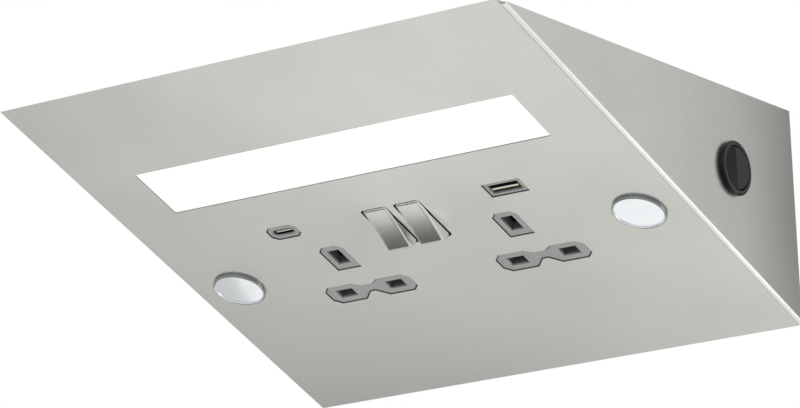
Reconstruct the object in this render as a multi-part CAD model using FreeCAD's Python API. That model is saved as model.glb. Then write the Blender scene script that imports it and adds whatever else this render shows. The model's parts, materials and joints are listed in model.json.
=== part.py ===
import FreeCAD, Part
import math
import os

from FreeCAD import Placement, Rotation, Vector

# Under-cabinet power socket, in millimetres.
# World frame: X across the unit, Y towards the wall, Z up. The origin is the middle of the top
# face, which is held against the underside of a cabinet. Two local frames are used as well, both
# with z = 0 on the outer face of a sheet and z growing into the unit: the panel frame has x across
# and y down the slope from the front edge, and the cheek frame has x up and y towards the wall.

# Wedge
WIDTH = 215.0
DEPTH = 195.0
HEIGHT = 80.5
FASCIA_SHEET = 1.2
BOX_SHEET = 1.0
FOLD_RADIUS = 2.0
BOX_FOLD_RADIUS = 1.5
TIP_NOTCH_START = 1.5
TIP_NOTCH_LENGTH = 3.0
TIP_NOTCH_DEPTH = 1.0

# Clearances
NEST_GAP = 0.3
WINDOW_GAP = 0.3
DIFFUSER_GAP = 0.15
PORT_GAP = 0.2
BOX_LOW_GAP = 0.8
SEAT_GAP = 0.05
RUN_GAP = 0.3
PIVOT_GAP = 0.05
INSERT_RECESS = 0.3
INSERT_EDGE = 0.25

# Drawing aids: how far a cutter runs past what it cuts, the tolerance in finding edges, and the
# flat left at each end of an obround
OVERCUT = 1.0
TOLERANCE = 1e-6
OBROUND_FLAT = 0.01

# Top and back box
BOX_FLANGE = 12.0
CABINET_SCREW_X = 140.0
CABINET_SCREW_Y = 120.0
CABINET_SCREW_RADIUS = 2.5
ENTRY_X = 40.0
ENTRY_DROP = 30.0
ENTRY_HOLE_RADIUS = 8.0
GROMMET_BORE = 4.5
GROMMET_LIP = 2.5
GROMMET_LIP_THICKNESS = 1.5
EARTH_STUD_X = 5.0
EARTH_STUD_FROM_WALL = 20.0
EARTH_STUD_RADIUS = 2.0
EARTH_STUD_LENGTH = 12.0
EARTH_STUD_FOOT_RADIUS = 4.0
EARTH_STUD_FOOT = 1.0
EARTH_WASHER_RADIUS = 4.5
EARTH_WASHER = 1.0
EARTH_NUT_WIDTH = 7.0
EARTH_NUT_HEIGHT = 3.2

# Screw caps, screws and the brackets behind them
CAP_OFFSET = 1.45
CAP_DROP = 18.65
CAP_RADIUS = 10.0
CAP_HEIGHT = 1.7
CAP_RIM = 0.7
CAP_WALL = 0.35
CAP_STUD_RADIUS = 1.25
CAP_STUD_LENGTH = 3.0
FIXING_RADIUS = 2.5
FIXING_HEAD_RADIUS = 4.75
FIXING_HEAD_HEIGHT = 0.5
FIXING_LENGTH = 10.0
FIXING_HOLE_RADIUS = 2.75
BRACKET_WIDTH = 14.0
BRACKET_SHEET = 1.5
BRACKET_TAB = 9.0
BRACKET_FOOT = 14.0
FIXING_NUT_WIDTH = 8.0
FIXING_NUT_HEIGHT = 4.0

# Light
LIGHT_RISE = 44.95
LIGHT_SIDE_MARGIN = 25.8
LIGHT_WIDTH = 26.0
LIGHT_CORNER = 0.5
DIFFUSER_FLANGE = 2.0
DIFFUSER_MARGIN = 3.0
TRAY_DEPTH = 9.0
TRAY_SHEET = 0.8
TRAY_EAR = 11.0
TRAY_EAR_WIDTH = 16.0
LIGHT_BOARD_WIDTH = 12.0
LIGHT_BOARD_END_GAP = 1.7
BOARD = 1.6
CHIP_COUNT = 16
CHIP_SIZE = 3.5
CHIP_HEIGHT = 0.8
DRIVER_LENGTH = 70.0
DRIVER_HEIGHT = 24.0
DRIVER_DEPTH = 18.0
DRIVER_INSET = 52.5
DRIVER_DROP = 20.0
DRIVER_EAR = 8.0
DRIVER_EAR_THICKNESS = 2.0
SMALL_SCREW_RADIUS = 1.5
SMALL_HEAD_RADIUS = 2.8
SMALL_HEAD_HEIGHT = 1.8

# Studs and nuts on the back of the fascia
STUD_RADIUS = 1.5
STUD_LENGTH = 8.0
NUT_WIDTH = 5.5
NUT_HEIGHT = 2.4

# Sockets
SOCKET_PITCH = 76.0
PIN_SPACING = 22.2
LIVE_DROP = 34.25
SLOT_WIDTH = 7.4
SLOT_HEIGHT = 4.8
EARTH_SLOT_WIDTH = 5.3
EARTH_SLOT_HEIGHT = 8.7
PAIR_HALF_LENGTH = 19.1
PAIR_HALF_HEIGHT = 5.5
PAIR_CORNER = 2.7
NECK_HALF_WIDTH = 2.5
NECK_TOP_DIP = 2.1
NECK_TOP_SPREAD = 3.2
NECK_LOW_HALF_WIDTH = 1.1
NECK_LOW_RISE = 4.1
EARTH_HALF_WIDTH = 5.3
EARTH_ABOVE = 7.4
EARTH_BELOW = 7.8
EARTH_CORNER = 2.3

# Front moulding and rear housing of the twin socket
FRONT_HALF_WIDTH = 71.0
FRONT_TOP_MARGIN = 10.3
FRONT_LOW_MARGIN = 14.7
FRONT_THICKNESS = 3.0
STUD_X = 67.0
STUD_INSET = 8.0
BASE_SIDE_INSET = 8.5
BASE_TOP_RISE = 2.55
BASE_LOW_MARGIN = 11.7
BASE_NECK_HALF_WIDTH = 18.5
BASE_NECK_RISE = 16.55
BASE_WALL = 2.0
BASE_BACK = 32.0
BOSS_RADIUS = 2.6
BOSS_INSET = 3.8
MODULE_SCREW_RADIUS = 1.3
MODULE_SCREW_BITE = 2.0
LIVE_POST = (4.0, 3.0)
STRIP_POST = (3.0, 4.0)
BUS_POST = (4.0, 4.0)
FEED_POST = (3.0, 3.0)
EARTH_POST_X = 30.0
NEUTRAL_POST_X = 20.0

# Shutters
SHUTTER_THICKNESS = 1.8
SHUTTER_TRAVEL = 5.6
SHUTTER_HALF_WIDTH = 15.6
SHUTTER_ABOVE = 11.3
SHUTTER_BELOW = 3.7
SHUTTER_ARM_HALF_WIDTH = 5.0
SHUTTER_FORK_HALF_WIDTH = 2.8
SHUTTER_HOLE_MARGIN = 0.4
RAMP_START = 8.0
RAMP_REACH = 5.6
RAMP_BACK = 1.0
GUIDE_RIB = 1.2
GUIDE_DEPTH = 2.4
SPRING_RADIUS = 1.9
SPRING_WIRE = 0.25
SPRING_TURNS = 8
SPRING_DEPTH = 7.2
POST_THICKNESS = 2.0
TAB_THICKNESS = 2.0

# Contacts and bars
LEAF = 0.6
LEAF_GAP = 4.3
LEAF_WIDTH = 6.6
BAR = 1.0
BAR_WIDTH = 5.0
LIVE_BAR_DEPTH = 19.0
NEUTRAL_BAR_DEPTH = 21.0
EARTH_BAR_DEPTH = 23.0
FEED_BAR_DEPTH = 26.0
LIVE_LEAF_START = 9.0
EARTH_LEAF_START = 15.5
EARTH_LEAF_WIDTH = 7.4
EARTH_BAR_RISE = 13.8
LIVE_RUN_DROP = 2.45
TERMINAL_SIZE = 8.0
TERMINAL_END = 38.0
TERMINAL_SCREW_RADIUS = 1.75
TERMINAL_HEAD_RADIUS = 3.0
TERMINAL_HEAD_HEIGHT = 2.0
TERMINAL_AIR = 2.285
WIRE_HOLE_RADIUS = 1.6
WIRE_HOLE_DEPTH = 34.5
TERMINAL_SCREW_TIP = 35.0

# Socket rockers
ROCKER_PITCH = 14.2
ROCKER_WINDOW_WIDTH = 11.3
ROCKER_WINDOW_LENGTH = 24.0
ROCKER_WINDOW_CORNER = 1.5
ROCKER_PIVOT_DEPTH = 3.5
ROCKER_FACE = 6.2
ROCKER_HALF_LENGTH = 9.8
ROCKER_WIDTH = 10.3
ROCKER_TILT = 14.5
ROCKER_DISH = 0.5
ROCKER_EDGE = 1.0
ROCKER_CORNER = 1.1
CAP_SHEET = 0.5
ROCKER_SKIRT_END = 0.3
COLLAR_WALL = 2.0
COLLAR_END = 8.0
PIVOT_RADIUS = 1.2
PIVOT_REACH = 1.1
CORE_LOW = 2.0
PLUNGER_HOUSING_RADIUS = 2.8
PLUNGER_HOUSING_END = 8.0
PLUNGER_RADIUS = 1.5
PLUNGER_BORE_TOP = 1.0
PLUNGER_TIP = 12.0
PLUNGER_TOP = 4.5
PLUNGER_SPRING_TURNS = 5
PLUNGER_SPRING_WIRE = 0.2

# See-saw contact under each rocker
ARM_HALF_LENGTH = 7.0
ARM_WIDTH = 5.0
ARM_THICKNESS = 0.8
ARM_TILT = 8.0
ARM_DEPTH = 16.2
FULCRUM_WIDTH = 4.0
FULCRUM_GAP = 0.2
RIVET_RADIUS = 1.5
RIVET_OFFSET = 5.5
RIVET_GAP = 0.35

# USB ports and their boards
USB_RISE = 8.75
USB_A_X = 48.2
USB_C_X = -48.7
USB_A_WINDOW = (15.9, 8.2)
USB_C_WINDOW = (13.2, 8.0)
USB_C_WINDOW_CORNER = 2.0
USB_A_OPENING = (12.5, 5.1)
USB_A_SHELL = 0.35
USB_A_LIP_END = 1.4
USB_A_LENGTH = 12.6
USB_A_TONGUE = (11.1, 1.1)
USB_A_TONGUE_START = 0.4
USB_A_PADS = 4
USB_A_PAD = (1.2, 0.15)
USB_A_PAD_PITCH = 2.4
USB_A_PAD_START = 0.5
USB_C_OPENING = (8.34, 2.56)
USB_C_SHELL = 0.3
USB_C_START = 0.4
USB_C_LENGTH = 8.6
USB_C_TONGUE = (6.7, 0.7)
USB_C_TONGUE_START = 0.8
INSULATOR_BACK = 2.0
RISER_INSET = 1.0
BOARD_RISE = 6.7
BOARD_INNER_X = 19.5
BOARD_OUTER_X = 61.0
BOARD_START = 4.6
BOARD_END = 30.0
GROOVE_RIB = 1.1
GROOVE_END = 8.0
TRANSFORMER_X = 29.5
TRANSFORMER_WIDTH = 15.0
TRANSFORMER_HEIGHT = 9.8
TRANSFORMER_LENGTH = 14.0
TRANSFORMER_START = 13.0
CORE_PLATE = 3.5
BOBBIN_INSET = 0.5
CAPACITOR_RADIUS = 4.0
CAPACITOR_START = 17.5
CAPACITOR_LENGTH = 11.5

# Light switch in the right cheek
SWITCH_FROM_FRONT = 150.8
SWITCH_DROP = 30.2
BEZEL_RADIUS = 10.1
BEZEL_HEIGHT = 2.0
BEZEL_EDGE = 0.7
WELL_RADIUS = 8.3
BARREL_RADIUS = 9.5
BARREL_END = 13.5
BARREL_FLOOR = 1.5
BARB = 0.8
BARB_LENGTH = 3.0
BUTTON_RADIUS = 7.9
BUTTON_PIVOT_DEPTH = 1.0
BUTTON_RIDGE = 2.9
BUTTON_RIDGE_ANGLE = 8.0
BUTTON_TILT = 12.0
BUTTON_LOW = 2.0
BUTTON_STUB_RADIUS = 1.0
BUTTON_STUB_REACH = 1.2
BUTTON_BOSS_RADIUS = 2.0
BUTTON_BOSS_END = 5.0
BUTTON_PLUNGER_RADIUS = 0.9
BUTTON_PLUNGER_TIP = 7.0
BUTTON_ARM_HALF_LENGTH = 6.0
BUTTON_ARM_WIDTH = 4.0
BUTTON_ARM_THICKNESS = 0.6
BUTTON_ARM_TILT = 8.0
BUTTON_ARM_DEPTH = 8.6
BLADE_WIDTH = 4.8
BLADE_THICKNESS = 0.8
BLADE_END = 21.0
BLADE_OFFSET = 5.2

# Worked out from the sizes above
SLOPE = math.atan2(HEIGHT, DEPTH)
SIN = math.sin(SLOPE)
COS = math.cos(SLOPE)
FRONT_Y = -DEPTH / 2
WALL_Y = DEPTH / 2
FRONT_BACK = FASCIA_SHEET + FRONT_THICKNESS

# Rows down the slope. The rockers stand where the live terminal behind them just clears the top
# sheet, and every other row keeps its distance from them.
TERMINAL_ROOM = TERMINAL_END + TERMINAL_HEAD_HEIGHT + TERMINAL_AIR + BOX_SHEET / COS
ROCKER_V = TERMINAL_ROOM / math.tan(SLOPE) + TERMINAL_HEAD_RADIUS
LIGHT_V = ROCKER_V - LIGHT_RISE
CAP_V = ROCKER_V + CAP_DROP
LIVE_V = ROCKER_V + LIVE_DROP
EARTH_V = LIVE_V - PIN_SPACING
USB_V = ROCKER_V - USB_RISE
BOARD_V = USB_V - BOARD_RISE
FRONT_TOP_V = USB_V - FRONT_TOP_MARGIN
FRONT_LOW_V = LIVE_V + FRONT_LOW_MARGIN
STUD_TOP_V = FRONT_TOP_V + STUD_INSET
STUD_LOW_V = FRONT_LOW_V - STUD_INSET
BASE_TOP_V = ROCKER_V - BASE_TOP_RISE
BASE_LOW_V = LIVE_V + BASE_LOW_MARGIN
BASE_NECK_TOP_V = ROCKER_V - BASE_NECK_RISE
SHUTTER_TOP_V = LIVE_V - SHUTTER_ABOVE
SHUTTER_LOW_V = LIVE_V + SHUTTER_BELOW
EARTH_BAR_V = LIVE_V - EARTH_BAR_RISE
LIVE_RUN_V = ROCKER_V + LIVE_RUN_DROP

# Places and lengths across the unit that follow its width
BASE_HALF_WIDTH = FRONT_HALF_WIDTH - BASE_SIDE_INSET
CAP_X = (FRONT_HALF_WIDTH + WIDTH / 2) / 2 - CAP_OFFSET
LIGHT_LENGTH = WIDTH - 2 * LIGHT_SIDE_MARGIN
LIGHT_BOARD_LENGTH = LIGHT_LENGTH - 2 * LIGHT_BOARD_END_GAP
CHIP_PITCH = LIGHT_BOARD_LENGTH / CHIP_COUNT
DRIVER_X = DRIVER_INSET - WIDTH / 2

# Radius of the hollow face of a rocker
DISH_RADIUS = (ROCKER_HALF_LENGTH ** 2 + ROCKER_DISH ** 2) / (2 * ROCKER_DISH)
SOCKETS = (-SOCKET_PITCH / 2, SOCKET_PITCH / 2)
ROCKERS = (-ROCKER_PITCH / 2, ROCKER_PITCH / 2)
SIDES = ("left", "right")
PANEL = Placement(Vector(0, FRONT_Y, 0), Rotation(Vector(1, 0, 0), -math.degrees(SLOPE)))
SWITCH_PLACE = Vector(WIDTH / 2, FRONT_Y + SWITCH_FROM_FRONT, -SWITCH_DROP)
CHEEK = Placement(SWITCH_PLACE, Rotation(Vector(0, 1, 0), -90))


# Basic solids

def block(x, y, z):
    """A box between three (low, high) pairs."""
    return Part.makeBox(x[1] - x[0], y[1] - y[0], z[1] - z[0], Vector(x[0], y[0], z[0]))


def centred(centre, size, z):
    """A box about a centre in x and y, between two depths."""
    half_x, half_y = size[0] / 2, size[1] / 2
    return block((centre[0] - half_x, centre[0] + half_x), (centre[1] - half_y, centre[1] + half_y), z)


def rod(centre, radius, z):
    """A cylinder along z."""
    return Part.makeCylinder(radius, z[1] - z[0], Vector(centre[0], centre[1], z[0]))


def pin_along_x(x, y, z, radius):
    """A cylinder along x."""
    return Part.makeCylinder(radius, x[1] - x[0], Vector(x[0], y, z), Vector(1, 0, 0))


def slab(points, z):
    """A flat polygon in x and y, thickened from one depth to another."""
    corners = [Vector(x, y, z[0]) for x, y in points]
    face = Part.Face(Part.makePolygon(corners + corners[:1]))
    return face.extrude(Vector(0, 0, z[1] - z[0]))


def side_slab(points, x):
    """A polygon in y and z, thickened along x."""
    corners = [Vector(x[0], y, z) for y, z in points]
    face = Part.Face(Part.makePolygon(corners + corners[:1]))
    return face.extrude(Vector(x[1] - x[0], 0, 0))


def edges_along(solid, direction):
    """The edges of a solid that run along a direction."""
    return [edge for edge in solid.Edges
            if edge.tangentAt(edge.FirstParameter).cross(direction).Length < TOLERANCE]


def edges_at(solid, z):
    """The edges of a solid that lie wholly at one depth."""
    return [edge for edge in solid.Edges if all(abs(v.Z - z) < TOLERANCE for v in edge.Vertexes)]


def rounded(centre, size, corner, z):
    """A box with round corners in x and y."""
    solid = centred(centre, size, z)
    return solid.makeFillet(corner, edges_along(solid, Vector(0, 0, 1)))


def obround(centre, size, z):
    """A box whose short ends are round in x and y."""
    return rounded(centre, size, size[1] / 2 - OBROUND_FLAT, z)


def hexagon(centre, width, z):
    """A hexagonal prism, given its width across the flats."""
    reach = width / math.sqrt(3)
    angles = [math.radians(60 * step) for step in range(6)]
    return slab([(centre[0] + reach * math.cos(a), centre[1] + reach * math.sin(a)) for a in angles], z)


def nut(centre, width, bore, z):
    """A hexagonal nut with its bore."""
    return hexagon(centre, width, z).cut(rod(centre, bore, z))


def coil(radius, wire, length, turns):
    """A compression spring along z, from z = 0 to length."""
    rise = length - 2 * wire
    path = Part.Wire(Part.makeHelix(rise / turns, rise, radius).Edges)
    ring = Part.Wire(Part.makeCircle(wire, Vector(radius, 0, 0), Vector(0, 1, 0)))
    spring = path.makePipeShell([ring], True, True)
    spring.translate(Vector(0, 0, wire))
    return spring


def joined(solids):
    """One solid fused from several."""
    result = solids[0]
    for solid in solids[1:]:
        result = result.fuse(solid)
    return result.removeSplitter()


def without(solid, tools):
    """A solid with several others cut away."""
    for tool in tools:
        solid = solid.cut(tool)
    return solid


def placed(shape, placement):
    """A copy of a shape moved by a placement."""
    moved = shape.copy()
    moved.Placement = placement.multiply(moved.Placement)
    return moved


def on_panel(shape):
    """A shape drawn in the panel frame, put in the world frame."""
    return placed(shape, PANEL)


def on_cheek(shape):
    """A shape drawn in the cheek frame, put in the world frame."""
    return placed(shape, CHEEK)


def tilted(shape, pivot, degrees):
    """A shape drawn about the origin, turned about x and set at its pivot."""
    return placed(shape, Placement(pivot, Rotation(Vector(1, 0, 0), degrees)))


def slope_y(z, depth):
    """World y where the plane at this depth behind the panel face has height z."""
    return FRONT_Y + (depth * COS - z) / SIN * COS + depth * SIN


def slope_z(y, depth):
    """World height of the plane at this depth behind the panel face, at world y."""
    return depth * COS - (y - FRONT_Y - depth * SIN) / COS * SIN


# Outlines shared by the fascia windows and the moulding that fills them

def pair_outline(centre_x, gap):
    """The window round one live and neutral pair, drawn in by a gap."""
    length = PAIR_HALF_LENGTH - gap
    height = PAIR_HALF_HEIGHT - gap
    dip = height - NECK_TOP_DIP
    rise = height - NECK_LOW_RISE
    neck = NECK_HALF_WIDTH + gap
    low_neck = NECK_LOW_HALF_WIDTH + gap
    right = [(neck, -dip), (neck + NECK_TOP_SPREAD, -height), (length - PAIR_CORNER, -height),
             (length, PAIR_CORNER - height), (length, height - PAIR_CORNER), (length - PAIR_CORNER, height),
             (low_neck + NECK_LOW_RISE, height), (low_neck, rise)]
    left = [(-x, y) for x, y in reversed(right)]
    return [(centre_x + x, LIVE_V + y) for x, y in right + left]


def earth_outline(centre_x, gap):
    """The window round one earth slot, drawn in by a gap."""
    half = EARTH_HALF_WIDTH - gap
    top = EARTH_V - EARTH_ABOVE + gap
    low = EARTH_V + EARTH_BELOW - gap
    return [(centre_x - half + EARTH_CORNER, top), (centre_x + half - EARTH_CORNER, top),
            (centre_x + half, top + EARTH_CORNER), (centre_x + half, low),
            (centre_x - half, low), (centre_x - half, top + EARTH_CORNER)]


def usb_c_outline(gap):
    """The window round the USB-C port, drawn in by a gap."""
    half_x = USB_C_WINDOW[0] / 2 - gap
    half_y = USB_C_WINDOW[1] / 2 - gap
    cut = USB_C_WINDOW_CORNER
    quarter = [(half_x, half_y - cut), (half_x - cut, half_y)]
    points = quarter + [(-x, y) for x, y in reversed(quarter)]
    points = points + [(-x, -y) for x, y in points]
    return [(USB_C_X + x, USB_V + y) for x, y in points]


def insert_shapes(gap, z):
    """Every window that the grey moulding fills, as solids between two depths."""
    shapes = [slab(pair_outline(x, gap), z) for x in SOCKETS]
    shapes += [slab(earth_outline(x, gap), z) for x in SOCKETS]
    usb_a_size = (USB_A_WINDOW[0] - 2 * gap, USB_A_WINDOW[1] - 2 * gap)
    shapes.append(centred((USB_A_X, USB_V), usb_a_size, z))
    shapes.append(slab(usb_c_outline(gap), z))
    return shapes


def softened(shape):
    """The same raised shape with its outer rim rounded."""
    return shape.makeFillet(INSERT_EDGE, edges_at(shape, INSERT_RECESS))


def rocker_window(x, z):
    """The opening for one rocker, as a solid between two depths."""
    size = (ROCKER_WINDOW_WIDTH, ROCKER_WINDOW_LENGTH)
    return rounded((x, ROCKER_V), size, ROCKER_WINDOW_CORNER, z)


def pin_slots(z):
    """The live, neutral and earth slots of both sockets."""
    slots = []
    for x in SOCKETS:
        for side in (-1, 1):
            slots.append(centred((x + side * PIN_SPACING / 2, LIVE_V), (SLOT_WIDTH, SLOT_HEIGHT), z))
        slots.append(centred((x, EARTH_V), (EARTH_SLOT_WIDTH, EARTH_SLOT_HEIGHT), z))
    return slots


def module_studs():
    """Centres of the studs that hold the socket module."""
    return [(side * STUD_X, v) for side in (-1, 1) for v in (STUD_TOP_V, STUD_LOW_V)]


def tray_studs():
    """Centres of the studs that hold the light tray."""
    reach = LIGHT_LENGTH / 2 + DIFFUSER_MARGIN + TRAY_EAR / 2
    return [(side * reach, LIGHT_V) for side in (-1, 1)]


# Fascia and the box behind it

def fold(solid, radius):
    """Round the two long edges that run down the slope."""
    return solid.makeFillet(radius, edges_along(solid, Vector(0, COS, -SIN)))


def fascia():
    """Sheet that forms the slope and both cheeks, open at the top and the back."""
    half = WIDTH / 2
    outer = side_slab([(FRONT_Y, 0), (WALL_Y, 0), (WALL_Y, -HEIGHT)], (-half, half))
    reach = WALL_Y + OVERCUT
    front = slope_y(OVERCUT, FASCIA_SHEET)
    room = [(front, OVERCUT), (reach, OVERCUT), (reach, slope_z(reach, FASCIA_SHEET))]
    inner = side_slab(room, (FASCIA_SHEET - half, half - FASCIA_SHEET))
    sheet = fold(outer, FOLD_RADIUS).cut(fold(inner, FOLD_RADIUS - FASCIA_SHEET))
    through = (-OVERCUT, FASCIA_SHEET + OVERCUT)
    cuts = insert_shapes(0, through)
    cuts += [rocker_window(x, through) for x in ROCKERS]
    cuts.append(rounded((0, LIGHT_V), (LIGHT_LENGTH, LIGHT_WIDTH), LIGHT_CORNER, through))
    cuts += [rod((side * CAP_X, CAP_V), FIXING_HOLE_RADIUS, through) for side in (-1, 1)]
    sheet = without(sheet, [on_panel(cut) for cut in cuts])
    sheet = sheet.cut(on_cheek(rod((0, 0), BARREL_RADIUS + NEST_GAP, through)))
    notch = (FRONT_Y + TIP_NOTCH_START, FRONT_Y + TIP_NOTCH_START + TIP_NOTCH_LENGTH)
    for side in (-1, 1):
        edge = sorted((side * (half - FASCIA_SHEET), side * (half + OVERCUT)))
        sheet = sheet.cut(block(edge, notch, (-TIP_NOTCH_DEPTH, OVERCUT)))
    stud = (FASCIA_SHEET, FASCIA_SHEET + STUD_LENGTH)
    studs = [on_panel(rod(c, STUD_RADIUS, stud)) for c in module_studs() + tray_studs()]
    return joined([sheet] + studs)


def mounting_box():
    """Top and back sheet with turned-down ends, screwed to the cabinet first."""
    half = WIDTH / 2 - FASCIA_SHEET - NEST_GAP
    front = slope_y(-BOX_SHEET, FASCIA_SHEET) + NEST_GAP / SIN
    low = slope_z(WALL_Y - BOX_SHEET, FASCIA_SHEET) + BOX_LOW_GAP
    profile = side_slab([(front, 0), (WALL_Y, 0), (WALL_Y, low), (WALL_Y - BOX_SHEET, low),
                         (WALL_Y - BOX_SHEET, -BOX_SHEET), (front, -BOX_SHEET)], (-half, half))
    corner = [edge for edge in edges_at(profile, 0) if abs(edge.CenterOfMass.y - WALL_Y) < TOLERANCE]
    sheet = profile.makeFillet(BOX_FOLD_RADIUS, corner)
    flange_front = slope_y(-BOX_FLANGE, FASCIA_SHEET) + NEST_GAP / SIN
    flange_y = (flange_front, WALL_Y - BOX_SHEET / 2)
    for side in (-1, 1):
        flange_x = sorted((side * (half - BOX_SHEET), side * half))
        sheet = sheet.fuse(block(flange_x, flange_y, (-BOX_FLANGE, -BOX_SHEET / 2)))
    holes = []
    for x in (-CABINET_SCREW_X / 2, CABINET_SCREW_X / 2):
        for y in (-CABINET_SCREW_Y / 2, CABINET_SCREW_Y / 2):
            holes.append(rod((x, y), CABINET_SCREW_RADIUS, (-BOX_SHEET - OVERCUT, OVERCUT)))
    holes.append(entry_rod(ENTRY_HOLE_RADIUS, (WALL_Y - BOX_SHEET - OVERCUT, WALL_Y + OVERCUT)))
    holes += [driver_hole(x, SMALL_SCREW_RADIUS + SEAT_GAP) for x in driver_screw_places()]
    return without(sheet, holes).removeSplitter()


def entry_rod(radius, y):
    """A cylinder along y on the axis of the cable entry."""
    return Part.makeCylinder(radius, y[1] - y[0], Vector(ENTRY_X, y[0], -ENTRY_DROP), Vector(0, 1, 0))


def cable_grommet():
    """A rubber ring with a lip on each side of the back sheet."""
    inside = WALL_Y - BOX_SHEET
    start = inside - GROMMET_LIP_THICKNESS
    end = WALL_Y + GROMMET_LIP_THICKNESS
    lip = ENTRY_HOLE_RADIUS + GROMMET_LIP
    neck = entry_rod(ENTRY_HOLE_RADIUS - SEAT_GAP, (start, end))
    ring = joined([neck, entry_rod(lip, (start, inside)), entry_rod(lip, (WALL_Y, end))])
    return ring.cut(entry_rod(GROMMET_BORE, (start - OVERCUT, end + OVERCUT)))


def earth_stud_place():
    """Centre of the earth stud under the top sheet."""
    return (EARTH_STUD_X, WALL_Y - EARTH_STUD_FROM_WALL)


def earth_stud():
    """A stud that hangs from the top sheet on a round foot."""
    foot = rod(earth_stud_place(), EARTH_STUD_FOOT_RADIUS, (-BOX_SHEET - EARTH_STUD_FOOT, -BOX_SHEET))
    stud = rod(earth_stud_place(), EARTH_STUD_RADIUS, (-BOX_SHEET - EARTH_STUD_LENGTH, -BOX_SHEET))
    return joined([foot, stud])


def earth_nuts():
    """A washer and a nut under the earth stud's foot."""
    centre = earth_stud_place()
    bore = EARTH_STUD_RADIUS + SEAT_GAP
    top = -BOX_SHEET - EARTH_STUD_FOOT
    middle = top - EARTH_WASHER
    washer = rod(centre, EARTH_WASHER_RADIUS, (middle, top)).cut(rod(centre, bore, (middle, top)))
    low = middle - EARTH_NUT_HEIGHT
    return Part.makeCompound([washer, nut(centre, EARTH_NUT_WIDTH, bore, (low, middle))])


# Screw caps and what is behind them

def cap_blank():
    """A turned disc that stands out of the panel, with a round rim about a lower face."""
    face = CAP_RIM - CAP_HEIGHT
    inner = CAP_RADIUS - 2 * CAP_RIM
    low, start, end = Vector(CAP_RADIUS, 0, 0), Vector(CAP_RADIUS, 0, face), Vector(inner, 0, face)
    rim = Part.Arc(start, Vector(CAP_RADIUS - CAP_RIM, 0, -CAP_HEIGHT), end).toShape()
    middle = Vector(0, 0, face)
    edges = [Part.makeLine(Vector(0, 0, 0), low), Part.makeLine(low, start), rim, Part.makeLine(end, middle),
             Part.makeLine(middle, Vector(0, 0, 0))]
    return Part.Face(Part.Wire(edges)).revolve(Vector(0, 0, 0), Vector(0, 0, 1), 360)


def screw_caps():
    """Polished caps, each with a threaded stud that enters the screw head behind it."""
    face = CAP_RIM - CAP_HEIGHT
    hollow = rod((0, 0), CAP_RADIUS - 2 * CAP_RIM, (face + CAP_WALL, OVERCUT))
    stud_end = CAP_STUD_LENGTH - FIXING_HEAD_HEIGHT
    stud = rod((0, 0), CAP_STUD_RADIUS, (face + CAP_WALL / 2, stud_end))
    cap = joined([cap_blank().cut(hollow), stud])
    return Part.makeCompound([on_panel(placed(cap, Placement(Vector(side * CAP_X, CAP_V, 0), Rotation())))
                              for side in (-1, 1)])


def fixing_screws():
    """Screws that clamp the fascia to the brackets, with a tapped hole for the cap."""
    screws = []
    for side in (-1, 1):
        centre = (side * CAP_X, CAP_V)
        head = rod(centre, FIXING_HEAD_RADIUS, (-FIXING_HEAD_HEIGHT, 0))
        shank = rod(centre, FIXING_RADIUS, (-FIXING_HEAD_HEIGHT, FIXING_LENGTH))
        hole_end = CAP_STUD_LENGTH - FIXING_HEAD_HEIGHT + RUN_GAP
        hole = rod(centre, CAP_STUD_RADIUS + SEAT_GAP, (-FIXING_HEAD_HEIGHT - OVERCUT, hole_end))
        screws.append(on_panel(joined([head, shank]).cut(hole)))
    return Part.makeCompound(screws)


def fixing_brackets():
    """Folded straps from the top sheet down to a tab that lies along the fascia."""
    brackets = []
    tab_z = (FASCIA_SHEET + NEST_GAP, FASCIA_SHEET + NEST_GAP + BRACKET_SHEET)
    web_y = FRONT_Y + (CAP_V + BRACKET_TAB) * COS
    for side in (-1, 1):
        centre_x = side * CAP_X
        across = (centre_x - BRACKET_WIDTH / 2, centre_x + BRACKET_WIDTH / 2)
        tab = on_panel(block(across, (CAP_V - BRACKET_TAB, CAP_V + BRACKET_TAB), tab_z))
        web = block(across, (web_y - BRACKET_SHEET, web_y), (-HEIGHT, -BOX_SHEET))
        keep = on_panel(block(across, (0, 2 * DEPTH), (tab_z[0], HEIGHT)))
        foot_y = (web_y - BRACKET_SHEET, web_y + BRACKET_FOOT)
        foot = block(across, foot_y, (-BOX_SHEET - BRACKET_SHEET, -BOX_SHEET))
        hole = on_panel(rod((centre_x, CAP_V), FIXING_RADIUS + SEAT_GAP, (0, tab_z[1] + OVERCUT)))
        brackets.append(joined([tab, web.common(keep), foot]).cut(hole))
    return Part.makeCompound(brackets)


def fixing_nuts():
    """Weld nuts on the back of the bracket tabs."""
    start = FASCIA_SHEET + NEST_GAP + BRACKET_SHEET
    z = (start, start + FIXING_NUT_HEIGHT)
    bore = FIXING_RADIUS + SEAT_GAP
    nuts = [nut((side * CAP_X, CAP_V), FIXING_NUT_WIDTH, bore, z) for side in (-1, 1)]
    return on_panel(Part.makeCompound(nuts))


# Light

def flange_size():
    """Outline of the diffuser's flange, which carries the tray and its ears."""
    reach = 2 * (DIFFUSER_MARGIN + TRAY_EAR)
    return (LIGHT_LENGTH + reach, LIGHT_WIDTH + 2 * DIFFUSER_MARGIN)


def light_diffuser():
    """Pale strip that fills the light's window, with a flange behind the fascia."""
    window = (LIGHT_LENGTH - 2 * DIFFUSER_GAP, LIGHT_WIDTH - 2 * DIFFUSER_GAP)
    pane = rounded((0, LIGHT_V), window, LIGHT_CORNER, (INSERT_RECESS, FASCIA_SHEET))
    flange = centred((0, LIGHT_V), flange_size(), (FASCIA_SHEET, FASCIA_SHEET + DIFFUSER_FLANGE))
    through = (0, FASCIA_SHEET + DIFFUSER_FLANGE + OVERCUT)
    holes = [rod(c, STUD_RADIUS + SEAT_GAP, through) for c in tray_studs()]
    return on_panel(without(joined([pane, flange]), holes))


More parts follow.
